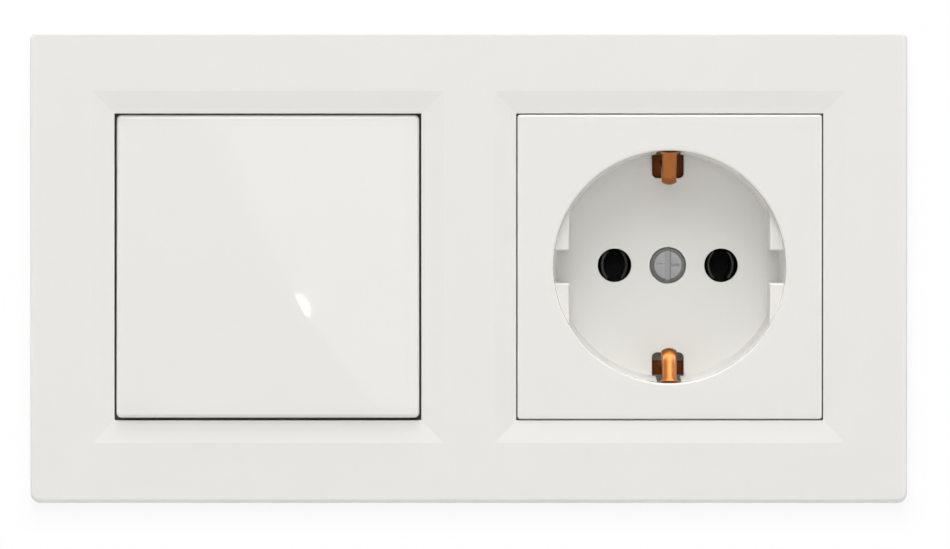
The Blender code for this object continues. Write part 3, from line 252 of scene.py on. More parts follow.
# %% A finish under construction
class Finish:
    """A material, its shader, and one method that adds any node."""

    def __init__(self, name, constants):
        self.material = bpy.data.materials.new(name)
        self.material.use_nodes = True
        self.tree = self.material.node_tree
        self.shader = self.tree.nodes["Principled BSDF"]
        for socket, value in constants.items():
            self.shader.inputs[socket].default_value = value

    def node(self, kind, settings=None, inputs=None, output=0):
        """Add a node, set it, feed its inputs, and wrap one of its outputs."""
        made = self.tree.nodes.new(kind)
        for key, value in (settings or {}).items():
            setattr(made, key, value)
        for key, value in (inputs or {}).items():
            self.feed(made.inputs[key], value)
        return Field(self, made.outputs[output])

    def feed(self, socket, value):
        """Wire a field to a socket, or put a constant on it."""
        if isinstance(value, Field):
            self.tree.links.new(value.socket, socket)
        else:
            socket.default_value = value

    def set(self, **inputs):
        """Feed the shader's inputs by their names, and give back the finished material."""
        for name, value in inputs.items():
            self.feed(self.shader.inputs[name.replace("_", " ").title()], value)
        return self.material

    def place(self, stretch=(1, 1, 1)):
        """Where a point lies on the object, in metres, stretched for grain that runs one way."""
        where = self.node("ShaderNodeTexCoord", output="Object")
        return self.node("ShaderNodeMapping", inputs={"Vector": where, "Scale": stretch})

    def noise(self, scale, detail=2.0, stretch=(1, 1, 1)):
        """Cloudy noise from 0 to 1; its scale counts features in a metre."""
        return self.node("ShaderNodeTexNoise", inputs={"Vector": self.place(stretch), "Scale": scale,
                                                       "Detail": detail})

    def coordinate(self, axis):
        """One coordinate of the place, in metres: 0 for X, 1 for Y, 2 for Z."""
        return self.node("ShaderNodeSeparateXYZ", inputs={0: self.place()}, output=axis)

    def rise(self, value, start, end, kind="LINEAR"):
        """0 where the value is at its start, 1 at its end, and between 0 and 1 between them."""
        return self.node("ShaderNodeMapRange", {"interpolation_type": kind},
                         {"Value": value, "From Min": start, "From Max": end})

    def between(self, share, first, second):
        """A colour between two others, each given in numbers or as a field."""
        first, second = [colour if isinstance(colour, Field) else (*colour, 1) for colour in (first, second)]
        return self.node("ShaderNodeMix", {"data_type": "RGBA"}, {0: share, 6: first, 7: second}, 2)

    def bump(self, height, depth):
        """A relief as deep as depth, in metres, where the height goes from 0 to 1."""
        return self.node("ShaderNodeBump", inputs={"Height": height, "Distance": depth, "Strength": 1.0})


# %% [markdown]
# ## The white moulding
# The frame, the rocker and the socket's cover are injection moulded in a glossy white. Such plastic is very
# even, so the nodes only add what a close look shows: a faint cloudiness, a surface that isn't perfectly
# flat, and a gloss that varies a little. The rocker is polished, and the well is duller than its plate. Deep
# in the well the white is also painted a little brighter and cooler: painted light that lightens the well and
# takes out the warm tint of the light that bounces about in it.


# %% White plastic
# The second white is painted light: a brighter, cooler white for what lies deep in the well.
WHITE, WELL_PAINTED_LIGHT = (0.862, 0.849, 0.812), (0.874, 0.868, 0.838)
GLOSSY, POLISHED, WELL_DULLER = 0.16, 0.014, 0.35
WELL_START, WELL_SOFT = -7.3, 0.3


def white_plastic(name, gloss, waves, duller=0.0, inner=WHITE):
    """Gloss is the roughness and waves the skin's relief in metres; duller makes what lies deep rougher, and
    inner is the colour painted there, which is painted light when it is brighter than WHITE.
    """
    finish = Finish(name, {"Specular IOR Level": 0.5})
    deep = finish.rise(finish.coordinate(1), WELL_START * MM, (WELL_START + WELL_SOFT) * MM)
    front = finish.between(finish.noise(45, 2), [c * 0.990 for c in WHITE], [c * 1.008 for c in WHITE])
    roughness = gloss + 0.2 * gloss * finish.noise(160, 3) + duller * deep
    return finish.set(base_color=finish.between(deep, front, inner), roughness=roughness,
                      normal=finish.bump(finish.noise(420, 2), waves))


frame_white = white_plastic("frame_white", GLOSSY, 1.2e-6)
# The cover's well is painted brighter and cooler deep inside: painted light.
cover_white = white_plastic("cover_white", GLOSSY, 1.2e-6, WELL_DULLER, WELL_PAINTED_LIGHT)
rocker_white = white_plastic("rocker_white", POLISHED, 1e-7)
print("white finishes:", frame_white.name, cover_white.name, rocker_white.name)


# %% [markdown]
# ## Plastics and metals of the mechanism
# The insulating bases are moulded in a dull plastic with a spark-eroded grain. The metal parts are stamped or
# turned: stamped strip shows fine grain along its length, zinc plating is cloudy, and copper darkens in
# patches. One recipe with a stretched noise gives all of them.


# %% Dull plastic
def dull_plastic(name, colour, roughness, shine=0.4):
    """A fine grain in the relief and the gloss, and a faint cloudiness in the colour."""
    finish = Finish(name, {"Specular IOR Level": shine})
    grain = finish.noise(5200, 3)
    shaded = finish.between(finish.noise(60, 3), [c * 0.90 for c in colour], [c * 1.08 for c in colour])
    return finish.set(base_color=shaded, roughness=roughness + 0.10 * grain, normal=finish.bump(grain, 1.2e-5))


base_grey = dull_plastic("base_grey", (0.25, 0.245, 0.235), 0.42)
pale_grey = dull_plastic("pale_grey", (0.42, 0.42, 0.41), 0.40)
black_tube = dull_plastic("black_tube", (0.028, 0.028, 0.028), 0.5, 0.25)
print("dull plastics:", base_grey.name, pale_grey.name, black_tube.name)


# %% Metal
def metal(name, dark, light, roughness, stretch=(1, 1, 1)):
    """Patches between a dark and a light colour, with fine lines that a stretch can draw out."""
    finish = Finish(name, {"Metallic": 1.0})
    lines = finish.noise(2600, 3, stretch)
    patches = finish.noise(170, 4) * 0.7 + lines * 0.3
    return finish.set(base_color=finish.between(patches, dark, light), roughness=roughness + 0.14 * lines,
                      normal=finish.bump(lines, 4e-6))


ALONG_STRIP = (1, 0.12, 1)
zinc = metal("zinc_plate", (0.50, 0.51, 0.52), (0.66, 0.67, 0.68), 0.22)
sheet_zinc = metal("sheet_zinc", (0.36, 0.37, 0.38), (0.50, 0.51, 0.52), 0.50)
brass = metal("brass_strip", (0.68, 0.50, 0.24), (0.82, 0.64, 0.34), 0.24, ALONG_STRIP)
silver = metal("silver_contact", (0.74, 0.74, 0.72), (0.86, 0.86, 0.84), 0.20)
# Painted shade: the pin leaves get a nearly black metal, so that the pin holes look dark; the same contacts'
# tails are brass.
painted_shade_leaf = metal("painted_shade_leaf", (0.11, 0.11, 0.105), (0.16, 0.16, 0.155), 0.46)
print("metals:", [m.name for m in (zinc, sheet_zinc, brass, silver, painted_shade_leaf)])


# %% Copper
def copper_strip():
    """Plain copper at the front; deep inside the well it is rougher, and painted dark brown as painted shade.
    """
    finish = Finish("copper_strip", {"Metallic": 1.0})
    lines = finish.noise(2600, 3, (1, 0.12, 0.12))
    patches = finish.noise(170, 4) * 0.7 + lines * 0.3
    # Painted shade: from 8.5 mm deep, behind the floor where the notch lies in shade, the copper turns dark
    # brown; it is rougher there too.
    deep_shade = finish.rise(finish.coordinate(1), 8.5 * MM, 11.0 * MM)
    plain_copper = finish.between(patches, (0.30, 0.095, 0.024), (0.43, 0.154, 0.045))
    return finish.set(base_color=finish.between(deep_shade, plain_copper, (0.17, 0.048, 0.013)),
                      roughness=0.24 + 0.12 * lines + 0.15 * deep_shade, normal=finish.bump(lines, 3e-6))


copper = copper_strip()
print("copper:", copper.name)


# %% Screw head
GANGS = {"switch": -35.5, "socket": 35.5}
SCREW_DISC = 2.54


def screw_head():
    """Matt grey plating; the lower collar round the disc is painted darker, as painted shade for its place
    below the disc.
    """
    finish = Finish("screw_head", {"Metallic": 1.0})
    flat = finish.node("ShaderNodeVectorMath", {"operation": "MULTIPLY"}, {0: finish.place(), 1: (1, 0, 1)})
    axis = (GANGS["socket"] * MM, 0, 0)
    radius = finish.node("ShaderNodeVectorMath", {"operation": "DISTANCE"}, {0: flat, 1: axis}, "Value")
    # Painted shade: past the disc's edge the colour turns a darker grey.
    collar = finish.rise(radius, (SCREW_DISC - 0.02) * MM, (SCREW_DISC + 0.06) * MM)
    cloud = finish.noise(900, 3)
    plate = finish.between(cloud, (0.275, 0.275, 0.278), (0.315, 0.315, 0.315))
    return finish.set(base_color=finish.between(collar, plate, (0.15, 0.15, 0.148)),
                      roughness=0.34 + 0.12 * cloud)


screw_grey = screw_head()
print("screw:", screw_grey.name)


# %% Threads
def threaded(name, dark, light, pitch):
    """Plating on a screw: a relief of fine rings along Y stands for its thread."""
    finish = Finish(name, {"Metallic": 1.0})
    bands = {"wave_type": "BANDS", "bands_direction": "Y", "wave_profile": "TRI"}
    rings = finish.node("ShaderNodeTexWave", bands, {"Vector": finish.place(),
                                                     "Scale": 1 / (pitch * MM) / 20 * math.pi})
    cloud = finish.noise(300, 3)
    return finish.set(base_color=finish.between(cloud, dark, light), roughness=0.24 + 0.1 * cloud,
                      normal=finish.bump(rings, 0.22 * MM))


screw_zinc = threaded("threaded_zinc", (0.50, 0.51, 0.52), (0.66, 0.67, 0.68), 0.6)
print("threads:", screw_zinc.name)

# %% [markdown]
# ## Handing a piece over
# A finished piece carries one finish, moves with a body of the mechanism, and takes the place of the plain CAD
# node, which is hidden.


def settle(piece, node, finish):
    """Give a piece its finish and let it stand for a CAD node on that node's body."""
    piece.data.materials.clear()
    piece.data.materials.append(finish)
    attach(piece, frame["nodes"][node]["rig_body"])
    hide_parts(node)
    print(piece.name, len(piece.data.polygons), "faces")
    return piece


# %% [markdown]
# ## The frame
# One moulding surrounds both places. Each window has a border that slopes in by less than a millimetre over
# four, which is what makes the four thin shades round it. A tapered cutter, a cube whose front is scaled up,
# gives all four slopes at once, so they meet at clean mitres.

# %% Sizes of the frame
FRAME_FRONT, FRAME_HALF_WIDTH, FRAME_HALF_HEIGHT, FRAME_WALL = -9.9, 77.5, 41.75, 2.0
FRAME_CORNER, FRAME_EDGE = 1.8, 0.8
WINDOW_HALF, SLOPE_WIDTH, SLOPE_DROP, COLLAR_WALL = 27.1, 4.0, 0.37, 1.5
RIB_WALL, RIB_PLACE, RIB_DEPTH, INNER_BACK = 1.2, 15.0, 4.0, -1.5


# %% The frame's hollow
def frame_hollow():
    """What is empty behind the skin: a block less the collars and ribs that stay."""
    inner_wide, inner_high = FRAME_HALF_WIDTH - FRAME_WALL, FRAME_HALF_HEIGHT - FRAME_WALL
    hollow = cube("hollow", (-inner_wide, inner_wide), (FRAME_FRONT + FRAME_WALL, 1), (-inner_high, inner_high))
    rib = (FRAME_FRONT, FRAME_FRONT + FRAME_WALL + RIB_DEPTH)
    half = RIB_WALL / 2
    for gang in GANGS.values():
        collar = WINDOW_HALF + COLLAR_WALL
        carve(hollow, cube("collar", about(gang, collar), (FRAME_FRONT, INNER_BACK), (-collar, collar)))
        for side in (-1, 1):
            carve(hollow, cube("rib", about(gang + side * RIB_PLACE, half), rib, (-50, 50)))
    for side in (-1, 1):
        carve(hollow, cube("rib", (-90, 90), rib, about(side * RIB_PLACE, half)))
    carve(hollow, cube("middle_rib", (-RIB_WALL, RIB_WALL), (FRAME_FRONT, INNER_BACK), (-50, 50)))
    return carve(hollow, cube("foot", (-RIB_WALL, RIB_WALL), (FRAME_FRONT, 2), (-6, 6)))


# %% The windows and their slopes
def slope_cutter(gang):
    """A cube whose front face is scaled up, so that its four sides slope."""
    ahead = 1.0
    taper = cube("slope", about(gang, WINDOW_HALF), (FRAME_FRONT - ahead, FRAME_FRONT + SLOPE_DROP),
                 (-WINDOW_HALF, WINDOW_HALF))
    spread = 1 + SLOPE_WIDTH * (1 + ahead / SLOPE_DROP) / WINDOW_HALF
    with editing(taper):
        choose("FACE", lambda f: f.normal.y < -0.5)
        bpy.ops.transform.resize(value=(spread, 1, spread), center_override=(gang * MM, 0, 0))
    return taper


def frame_moulding():
    """A rounded block, hollowed from behind and cut open at its two windows."""
    piece = rounded_block("frame_moulding", (-FRAME_HALF_WIDTH, FRAME_HALF_WIDTH), (FRAME_FRONT, 0),
                          (-FRAME_HALF_HEIGHT, FRAME_HALF_HEIGHT), FRAME_CORNER, FRAME_EDGE, 12)
    carve(piece, frame_hollow())
    for gang in GANGS.values():
        carve(piece, cube("window", about(gang, WINDOW_HALF), (-20, 5), (-WINDOW_HALF, WINDOW_HALF)),
              slope_cutter(gang))
    return soften(piece, 0.16, plane=7)


settle(frame_moulding(), "cover_frame", frame_white)

# %% [markdown]
# ## The rocker
# The switch's cap is a thin shell with a front that bulges by a third of a millimetre. That is too little to
# see as a shape, but it bends the reflections. The block is bisected into a grid, and the grid's points move
# forward by a soft curve. The cap tips about its two pins, so it is built straight and tilted at the end. Four
# posts inside snap into the cradle behind it.

# %% Sizes of the rocker
ROCKER_HALF, ROCKER_FRONT, ROCKER_BACK, ROCKER_WALL, ROCKER_CROWN = 26.75, -10.0, -4.5, 1.6, 0.35
ROCKER_CORNER, ROCKER_EDGE = 0.9, 0.75
POST_X, POST_Z, POST_RADIUS, POST_LENGTH, POST_CHAMFER = 8.5, 6.5, 1.2, 3.0, 0.3
HINGE_Y, TILT = -6.0, math.radians(-2.0)


# %% Crown and tilt
def grid_lines(piece, middle, half, cells):
    """Bisect a piece into a grid, across and up."""
    with editing(piece):
        for axis, centre in ((0, middle), (2, 0.0)):
            for line in range(1, cells):
                place, normal = Vector(), Vector()
                place[axis] = (centre - half + 2 * half * line / cells) * MM
                normal[axis] = 1.0
                bpy.ops.mesh.select_all(action="SELECT")
                bpy.ops.mesh.bisect(plane_co=place, plane_no=normal)


def crown(piece, middle, half, height, front, depth):
    """Push the front forward by a dome that is highest in the middle and nothing at the corners."""
    for vert in piece.data.vertices:
        share = 1 - (vert.co.y / MM - front) / depth
        if share > 0:
            u, w = (vert.co.x / MM - middle) / half, vert.co.z / MM / half
            vert.co.y -= height * MM * share * max(0.0, 1 - (u * u + w * w) / 2)


def tilt(piece, centre, angle):
    """Turn a piece about a line along X."""
    there = Matrix.Translation(Vector(centre) * MM)
    piece.data.transform(there @ Matrix.Rotation(angle, 4, "X") @ there.inverted())


# %% The rocker's cap
def rocker_cap():
    """A domed shell with four posts inside, tilted as it stands at rest."""
    x = GANGS["switch"]
    piece = rounded_block("rocker_cap", about(x, ROCKER_HALF), (ROCKER_FRONT, ROCKER_BACK),
                          (-ROCKER_HALF, ROCKER_HALF), ROCKER_CORNER, ROCKER_EDGE, 12)
    grid_lines(piece, x, ROCKER_HALF, 24)
    crown(piece, x, ROCKER_HALF, ROCKER_CROWN, ROCKER_FRONT, ROCKER_EDGE)
    inner, inside = ROCKER_HALF - ROCKER_WALL, ROCKER_FRONT + ROCKER_WALL
    carve(piece, cube("inside", about(x, inner), (inside, 0), (-inner, inner)))
    near, far = inside - 0.3, inside + POST_LENGTH
    profile = [(0, near), (POST_RADIUS, near), (POST_RADIUS, far - POST_CHAMFER),
               (POST_RADIUS - POST_CHAMFER, far), (0, far)]
    for across in (-POST_X, POST_X):
        for up in (-POST_Z, POST_Z):
            carve(piece, turned("post", profile, x + across, up, 24), operation="UNION")
    soften(piece, 0.12, flat=0)
    tilt(piece, (x, HINGE_Y, 0), TILT)
    return piece


settle(rocker_cap(), "rocker", rocker_white)

# %% [markdown]
# ## The socket's cover
# The cover is one moulding: a square plate with a deep round well. The well is a turned cutter with a rounded
# rim and a small fillet at its floor. Before it cuts, four blocks are taken out of the cutter, and they stay
# behind as the two notched flats that guide a plug. Their straight edges get a small bevel. Then the earth
# slots, the pin holes and the screw's seat are cut through the floor.

# %% Sizes of the socket
COVER_HALF, COVER_FRONT, COVER_BACK, COVER_THICK, COVER_SIDE = 26.9, -9.9, -5.0, 2.0, 1.5
COVER_CORNER, COVER_EDGE = 0.5, 0.3
RIM_RADIUS, FLOOR_RADIUS, FLOOR_Y, FLOOR_BACK = 20.55, 19.85, 7.6, 10.0
WELL_OUTSIDE, WELL_JOIN = 21.4, -8.9
RIM_FILLET, FLOOR_FILLET = 0.4, 0.15
FLAT_X, FLAT_Y, FLAT_Z, FLAT_EDGE = 17.7, -7.4, 2.9, 0.35
PIN_X, PIN_HOLE = 9.5, 3.0
SEAT_RADIUS, SEAT_DEPTH, SCREW_HOLE = 3.25, 1.4, 2.1
NOTCH_HALF, NOTCH_FROM, NOTCH_TO, NOTCH_CORNER = 2.825, 15.55, 19.75, 0.9
SLOT_HALF, SLOT_FROM, SLOT_TO, SLOT_FRONT = 2.15, 16.5, 23.0, 0.9
PAST = 1.0


# %% The well
def well_cutter(x):
    """The empty space of the well, less the four blocks that the flats are made of."""
    rim = RIM_RADIUS + RIM_FILLET
    profile = [(0, FLOOR_Y)]
    profile += arc((FLOOR_RADIUS - FLOOR_FILLET, FLOOR_Y - FLOOR_FILLET), FLOOR_FILLET, 90, 0, 5)
    profile += arc((rim, COVER_FRONT + RIM_FILLET), RIM_FILLET, 180, 270, 8)
    profile += [(rim, COVER_FRONT - 2 * PAST), (0, COVER_FRONT - 2 * PAST)]
    well = turned("well", profile, x, 0, 160)
    for side in (-1, 1):
        across = sorted((x + side * FLAT_X, x + side * 22))
        for up in (-1, 1):
            carve(well, cube("flat", across, (FLAT_Y, FLOOR_Y + 2 * PAST), sorted((up * FLAT_Z, up * 19))))
    return well


# %% Earth slots, pin holes and the screw's seat
def slot_cutters(x, side):
    """The notch in the floor and the narrower slot up the wall for one earth finger."""
    notch = cube("notch", about(x, NOTCH_HALF), (FLOOR_Y - PAST, FLOOR_BACK + PAST),
                 sorted((side * NOTCH_FROM, side * NOTCH_TO)))
    with editing(notch):
        choose("EDGE", lambda e: abs(e.verts[0].co.y - e.verts[1].co.y) > 1e-6
               and abs(e.verts[0].co.z) < (NOTCH_FROM + 0.1) * MM)
        bpy.ops.mesh.bevel(offset=NOTCH_CORNER * MM, segments=8, affect="EDGES")
    slot = cube("slot", about(x, SLOT_HALF), (COVER_FRONT + SLOT_FRONT, FLOOR_BACK + PAST),
                sorted((side * SLOT_FROM, side * SLOT_TO)))
    return notch, slot


def straight_edge(edge, x):
    """True for the two straight edges of a flat, not for the arc where it meets the wall."""
    return (all(abs(abs(v.co.x / MM - x) - FLAT_X) < 1e-3 for v in edge.verts)
            or all(abs(abs(v.co.z / MM) - FLAT_Z) < 1e-3 for v in edge.verts))


def socket_plate():
    """The square plate and the round well in one moulding, with all its openings."""
    x = GANGS["socket"]
    piece = rounded_block("socket_plate", about(x, COVER_HALF), (COVER_FRONT, COVER_BACK),
                          (-COVER_HALF, COVER_HALF), COVER_CORNER, COVER_EDGE, 6)
    inner = COVER_HALF - COVER_SIDE
    carve(piece, cube("inside", about(x, inner), (COVER_FRONT + COVER_THICK, 0), (-inner, inner)))
    outside = [(0, WELL_JOIN), (WELL_OUTSIDE, WELL_JOIN), (WELL_OUTSIDE, FLOOR_BACK), (0, FLOOR_BACK)]
    carve(piece, turned("outside", outside, x, 0, 160), operation="UNION")
    carve(piece, well_cutter(x))
    with editing(piece):
        choose("EDGE", lambda e: all(abs(v.co.y - FLAT_Y * MM) < 1e-6 for v in e.verts) and straight_edge(e, x))
        bpy.ops.mesh.bevel(offset=FLAT_EDGE * MM, segments=4, affect="EDGES")
    near, seat, far = FLOOR_Y - PAST, FLOOR_Y + SEAT_DEPTH, FLOOR_BACK + PAST
    for side in (-1, 1):
        carve(piece, *slot_cutters(x, side))
        hole = [(0, near), (PIN_HOLE, near), (PIN_HOLE, far), (0, far)]
        carve(piece, turned("pin_hole", hole, x + side * PIN_X, 0, 64))
    seated = [(0, near), (SEAT_RADIUS, near), (SEAT_RADIUS, seat)]
    seated += [(SCREW_HOLE, seat), (SCREW_HOLE, far), (0, far)]
    carve(piece, turned("screw_seat", seated, x, 0, 64))
    return soften(piece, 0.12, plane=2)


settle(socket_plate(), "socket_cover", cover_white)

# %% [markdown]
# ## The screw in the middle
# Its head carries a long slot and a short cross, so that two kinds of driver fit. The head is turned with a
# small round lip, and two thin blocks cut the slots.


# %% Cover screw
def middle_screw():
    """A raised disc on a wider collar, then the shank and its tip."""
    x = GANGS["socket"]
    top, collar, seat, end, tip = 7.9, 8.35, 8.7, 20.0, 20.6
    head, shank, lip = 3.15, 1.8, 0.15
    profile = [(0, top)] + arc((SCREW_DISC - lip, top + lip), lip, -90, 0, 4)
    profile += [(SCREW_DISC, collar), (head, collar), (head, seat), (shank, seat)]
    profile += [(shank, end), (shank / 2, tip), (0, tip)]
    piece = turned("middle_screw", profile, x, 0, 96)
    for wide, high, deep in ((0.48, 4.0, 0.6), (2.0, 0.25, 0.5)):
        carve(piece, cube("slot", about(x, wide), (top - PAST, top + deep), (-high, high)))
    return soften(piece, 0.04, flat=0)


settle(middle_screw(), "cover_screw", screw_grey)

# %% [markdown]
# ## Bent strips
# The earth fingers and the pin contacts are bent sheet metal. A flat grid is laid out first, and then each of
# its points is moved to its place on the bend. That keeps even rows of faces along the strip, and a Solidify
# modifier gives the sheet its thickness afterwards.


# %% A grid on a bend
def bent_sheet(name, rows, columns, place, thickness):
    """Lay a grid on a bend: place(along, across) gives a point for along 0 to 1 and across -1 to 1."""
    bpy.ops.object.select_all(action="DESELECT")
    bpy.ops.mesh.primitive_grid_add(x_subdivisions=columns, y_subdivisions=rows, size=2)
    piece = named(name)
    for vert in piece.data.vertices:
        vert.co = Vector(place((vert.co.y + 1) / 2, vert.co.x)) * MM
    apply(piece, "SOLIDIFY", thickness=thickness * MM, offset=0.0, use_even_offset=True)
    with editing(piece):
        bpy.ops.mesh.select_all(action="SELECT")
        bpy.ops.mesh.normals_make_consistent(inside=False)
    return piece


def smooth_path(points, steps):
    """Points of a smooth curve that passes through all the given ones."""
    ends = [points[0], *points, points[-1]]
    path = []
    for before, a, b, after in zip(ends, ends[1:], ends[2:], ends[3:]):
        for step in range(steps):
            t = step / steps
            path.append([0.5 * (2 * q + (r - p) * t + (2 * p - 5 * q + 4 * r - s) * t ** 2
                                + (3 * q - p - 3 * r + s) * t ** 3) for p, q, r, s in zip(before, a, b, after)])
    return path + [list(points[-1])]


# %% Earth fingers
FINGER_BENDS = [(11.6, 16.6), (11.2, 18.0), (9.2, 18.6), (4.5, 17.6), (-0.5, 16.1), (-3.6, 15.25), (-5.4, 16.2),
                (-6.9, 18.6), (-8.0, 20.6)]
FINGER_WIDTH, TIP_WIDER, TIP_FROM, TIP_OVER, FINGER_ARCH, FINGER_THICK = 2.4, 1.4, 0.945, 0.04, 0.45, 0.7
STRIP_HALF, STRIP_NEAR, STRIP_FAR, STRIP_END, STRIP_CORNER, STRIP_EDGE = 3.7, 11.2, 12.0, 20.9, 1.0, 0.15
finger_path = smooth_path(FINGER_BENDS, 8)


def finger(x, side):
    """One sprung finger: arched across its width, and wider at its tip."""
    last = len(finger_path) - 1

    def place(along, across):
        index = round(along * last)
        y, r = finger_path[index]
        before, after = finger_path[max(0, index - 1)], finger_path[min(last, index + 1)]
        run = Vector((after[0] - before[0], after[1] - before[1])).normalized()
        half = (FINGER_WIDTH + TIP_WIDER * min(1.0, max(0.0, (along - TIP_FROM) / TIP_OVER))) / 2
        arch = FINGER_ARCH * (1 - across * across)
        return x + across * half, y + run.y * arch, side * (r + run.x * arch)

    return bent_sheet("finger", last, 8, place, FINGER_THICK)


def earth_strip():
    """The flat strip under the well's floor, joined with its two fingers."""
    x = GANGS["socket"]
    piece = rounded_block("earth_strip", about(x, STRIP_HALF), (STRIP_NEAR, STRIP_FAR),
                          (-STRIP_END, STRIP_END), STRIP_CORNER, STRIP_EDGE, 6)
    carve(piece, turned("hole", [(0, 10), (2.4, 10), (2.4, 13), (0, 13)], x, 0, 48))
    fingers = [finger(x, side) for side in (-1, 1)]
    for part in fingers:
        soften(part, 0.1, flat=0)
    soften(piece, 0.08)
    only(piece)
    for part in fingers:
        part.select_set(True)
    bpy.ops.object.join()
    return piece


settle(earth_strip(), "earth_bracket", copper)


# %% Pin contacts
LEAF_NEAR, LEAF_LENGTH, LEAF_OUT, LEAF_BEND, LEAF_ANGLE, LEAF_THICK = 12.5, 15.1, 2.0, 3.6, 42, 0.45
TAIL_NEAR, TAIL_FAR = 27.2, 28.0


def leaf(x, turn):
    """One curved leaf that grips a pin; its mouth opens a little."""
    def place(along, across):
        angle = math.radians(LEAF_ANGLE) * across
        mouth = 0.25 * max(0.0, 1 - along / 0.12) ** 2
        out = LEAF_OUT - LEAF_BEND + mouth + LEAF_BEND * math.cos(angle)
        return x + turn * out, LEAF_NEAR + LEAF_LENGTH * along, LEAF_BEND * math.sin(angle)

    return bent_sheet("leaf", 24, 12, place, LEAF_THICK)


def contact_tail(name, x):
    """The flat part behind the tube, with a hole near its end."""
    disc = [(0, TAIL_NEAR), (3.1, TAIL_NEAR), (3.1, TAIL_FAR), (0, TAIL_FAR)]
    piece = turned(name, disc, x, 0, 48)
    carve(piece, cube("tail", about(x, 2.0), (TAIL_NEAR, TAIL_FAR), (-16.8, -2.0)), operation="UNION")
    carve(piece, turned("hole", [(0, 26), (1.5, 26), (1.5, 29), (0, 29)], x, -14.0, 32))
    return soften(piece, 0.08)


def tube(name, x):
    """The black tube round a pin contact, closed at its bottom."""
    near, floor, far, inside, outside = 10.3, 26.3, 26.9, 3.4, 4.4
    profile = [(0, floor), (inside, floor), (inside, near), (outside, near), (outside, far), (0, far)]
    return soften(turned(name, profile, x, 0, 96), 0.08)


for node, shroud, side in (("line_contact", "line_shroud", -1), ("neutral_contact", "neutral_shroud", 1)):
    x = GANGS["socket"] + side * PIN_X
    settle(contact_tail(node + "_tail", x), node, brass)
    for turn in (-1, 1):
        # The leaves take the nearly black metal, painted shade for the inside of the pin holes.
        settle(soften(leaf(x, turn), 0.06, flat=0), node, painted_shade_leaf)
    settle(tube(shroud + "_tube", x), shroud, black_tube)

# %% [markdown]
# ## The mechanism behind
# The pieces behind the wall already have the right form in the CAD model, but their edges are knife sharp. A
# copy of each is welded, freed of the lines inside its flat faces and given softly rounded edges. That is
# quicker than modelling each again, and it stays exactly on the CAD shape.


# %% Rounded copies of CAD nodes
def rounded_copy(node, finish, width, steps=2):
    """A copy of a CAD node with softly rounded edges, settled in that node's place."""
    source = frame["nodes"][node]
    piece = bpy.data.objects.new(node + "_fine", source.data.copy())
    bpy.context.scene.collection.objects.link(piece)
    soften(piece, width, steps, angle=40, flat=1.0)
    return settle(piece, node, finish)


TERMINALS = ["switch_common_terminal", "switch_upper_terminal", "switch_lower_terminal", "line_terminal",
             "neutral_terminal", "earth_terminal"]
BACK_PIECES = [
    (base_grey, 0.20, ["socket_base"]),
    (pale_grey, 0.20, ["switch_base"]),
    (pale_grey, 0.15, ["switch_bearing_cover", "rocker_cradle"]),
    (rocker_white, 0.0, ["plunger"]),
    (sheet_zinc, 0.12, [gang + "_support_plate" for gang in GANGS]),
    (zinc, 0.10, [gang + "_claw_" + side for gang in GANGS for side in ("left", "right")]),
    (zinc, 0.05, [gang + "_plate_rivet_" + end for gang in GANGS for end in ("lower", "upper")]),
    (zinc, 0.08, [terminal + "_screw" for terminal in TERMINALS]),
    (zinc, 0.0, ["cradle_spring"]),
    (screw_zinc, 0.06, [gang + "_claw_screw_" + side for gang in GANGS for side in ("left", "right")]),
    (brass, 0.10, TERMINALS),
    (brass, 0.06, ["common_contact", "upper_contact", "lower_contact", "contact_seesaw"]),
    (silver, 0.04, ["seesaw_rivet_lower", "seesaw_rivet_upper"]),
]
for finish, width, nodes in BACK_PIECES:
    for node in nodes:
        rounded_copy(node, finish, width)


# %% [markdown]
# ## Wall and floor
# The fitting sits on a white wall. The camera sees that wall as plain white with a soft shadow, while the
# light bounces off it as off any painted wall. Seen from behind, it lets the view through, so the back of the
# mechanism can be looked at too. A pale floor lies well below.


# %% A plain white stage
def near_frame(finish, reach):
    """1 at the frame's outline, falling to 0 at a reach in millimetres away from it."""
    out = [finish.node("ShaderNodeMath", {"operation": "ABSOLUTE"}, {0: finish.coordinate(axis)}) - half * MM
           for axis, half in ((0, FRAME_HALF_WIDTH), (2, FRAME_HALF_HEIGHT))]
    return finish.rise(out[0].maths("MAXIMUM", *out), reach * MM, 0.0, "SMOOTHSTEP")


def stage_finish(name, glow, share, colour, reach=0.0):
    """Mostly white by itself for the camera, with a share of real shading that keeps the shadow."""
    finish = Finish(name, {"Roughness": 1.0, "Specular IOR Level": 0.0, "Base Color": (*colour, 1)})
    own = finish.node("ShaderNodeEmission", inputs={"Strength": glow})
    dim = finish.node("ShaderNodeBsdfDiffuse", inputs={"Color": (share, share, share, 1)})
    shaded = finish.node("ShaderNodeAddShader", inputs={0: own, 1: dim})
    if reach:
        plain = finish.node("ShaderNodeEmission", inputs={"Strength": 1.0})
        shaded = finish.node("ShaderNodeMixShader", inputs={0: near_frame(finish, reach), 1: plain, 2: shaded})
    path = [finish.node("ShaderNodeLightPath", output=ray) for ray in
            ("Is Camera Ray", "Is Glossy Ray", "Is Transmission Ray")]
    lit = Field(finish, finish.shader.outputs[0])
    seen = finish.node("ShaderNodeMixShader", inputs={0: path[0] + path[1] + path[2], 1: lit, 2: shaded})
    behind = finish.node("ShaderNodeNewGeometry", output="Backfacing")
    clear = finish.node("ShaderNodeBsdfTransparent")
    both = finish.node("ShaderNodeMixShader", inputs={0: behind, 1: seen, 2: clear})
    finish.tree.links.new(both.socket, finish.tree.nodes["Material Output"].inputs["Surface"])
    return finish.material


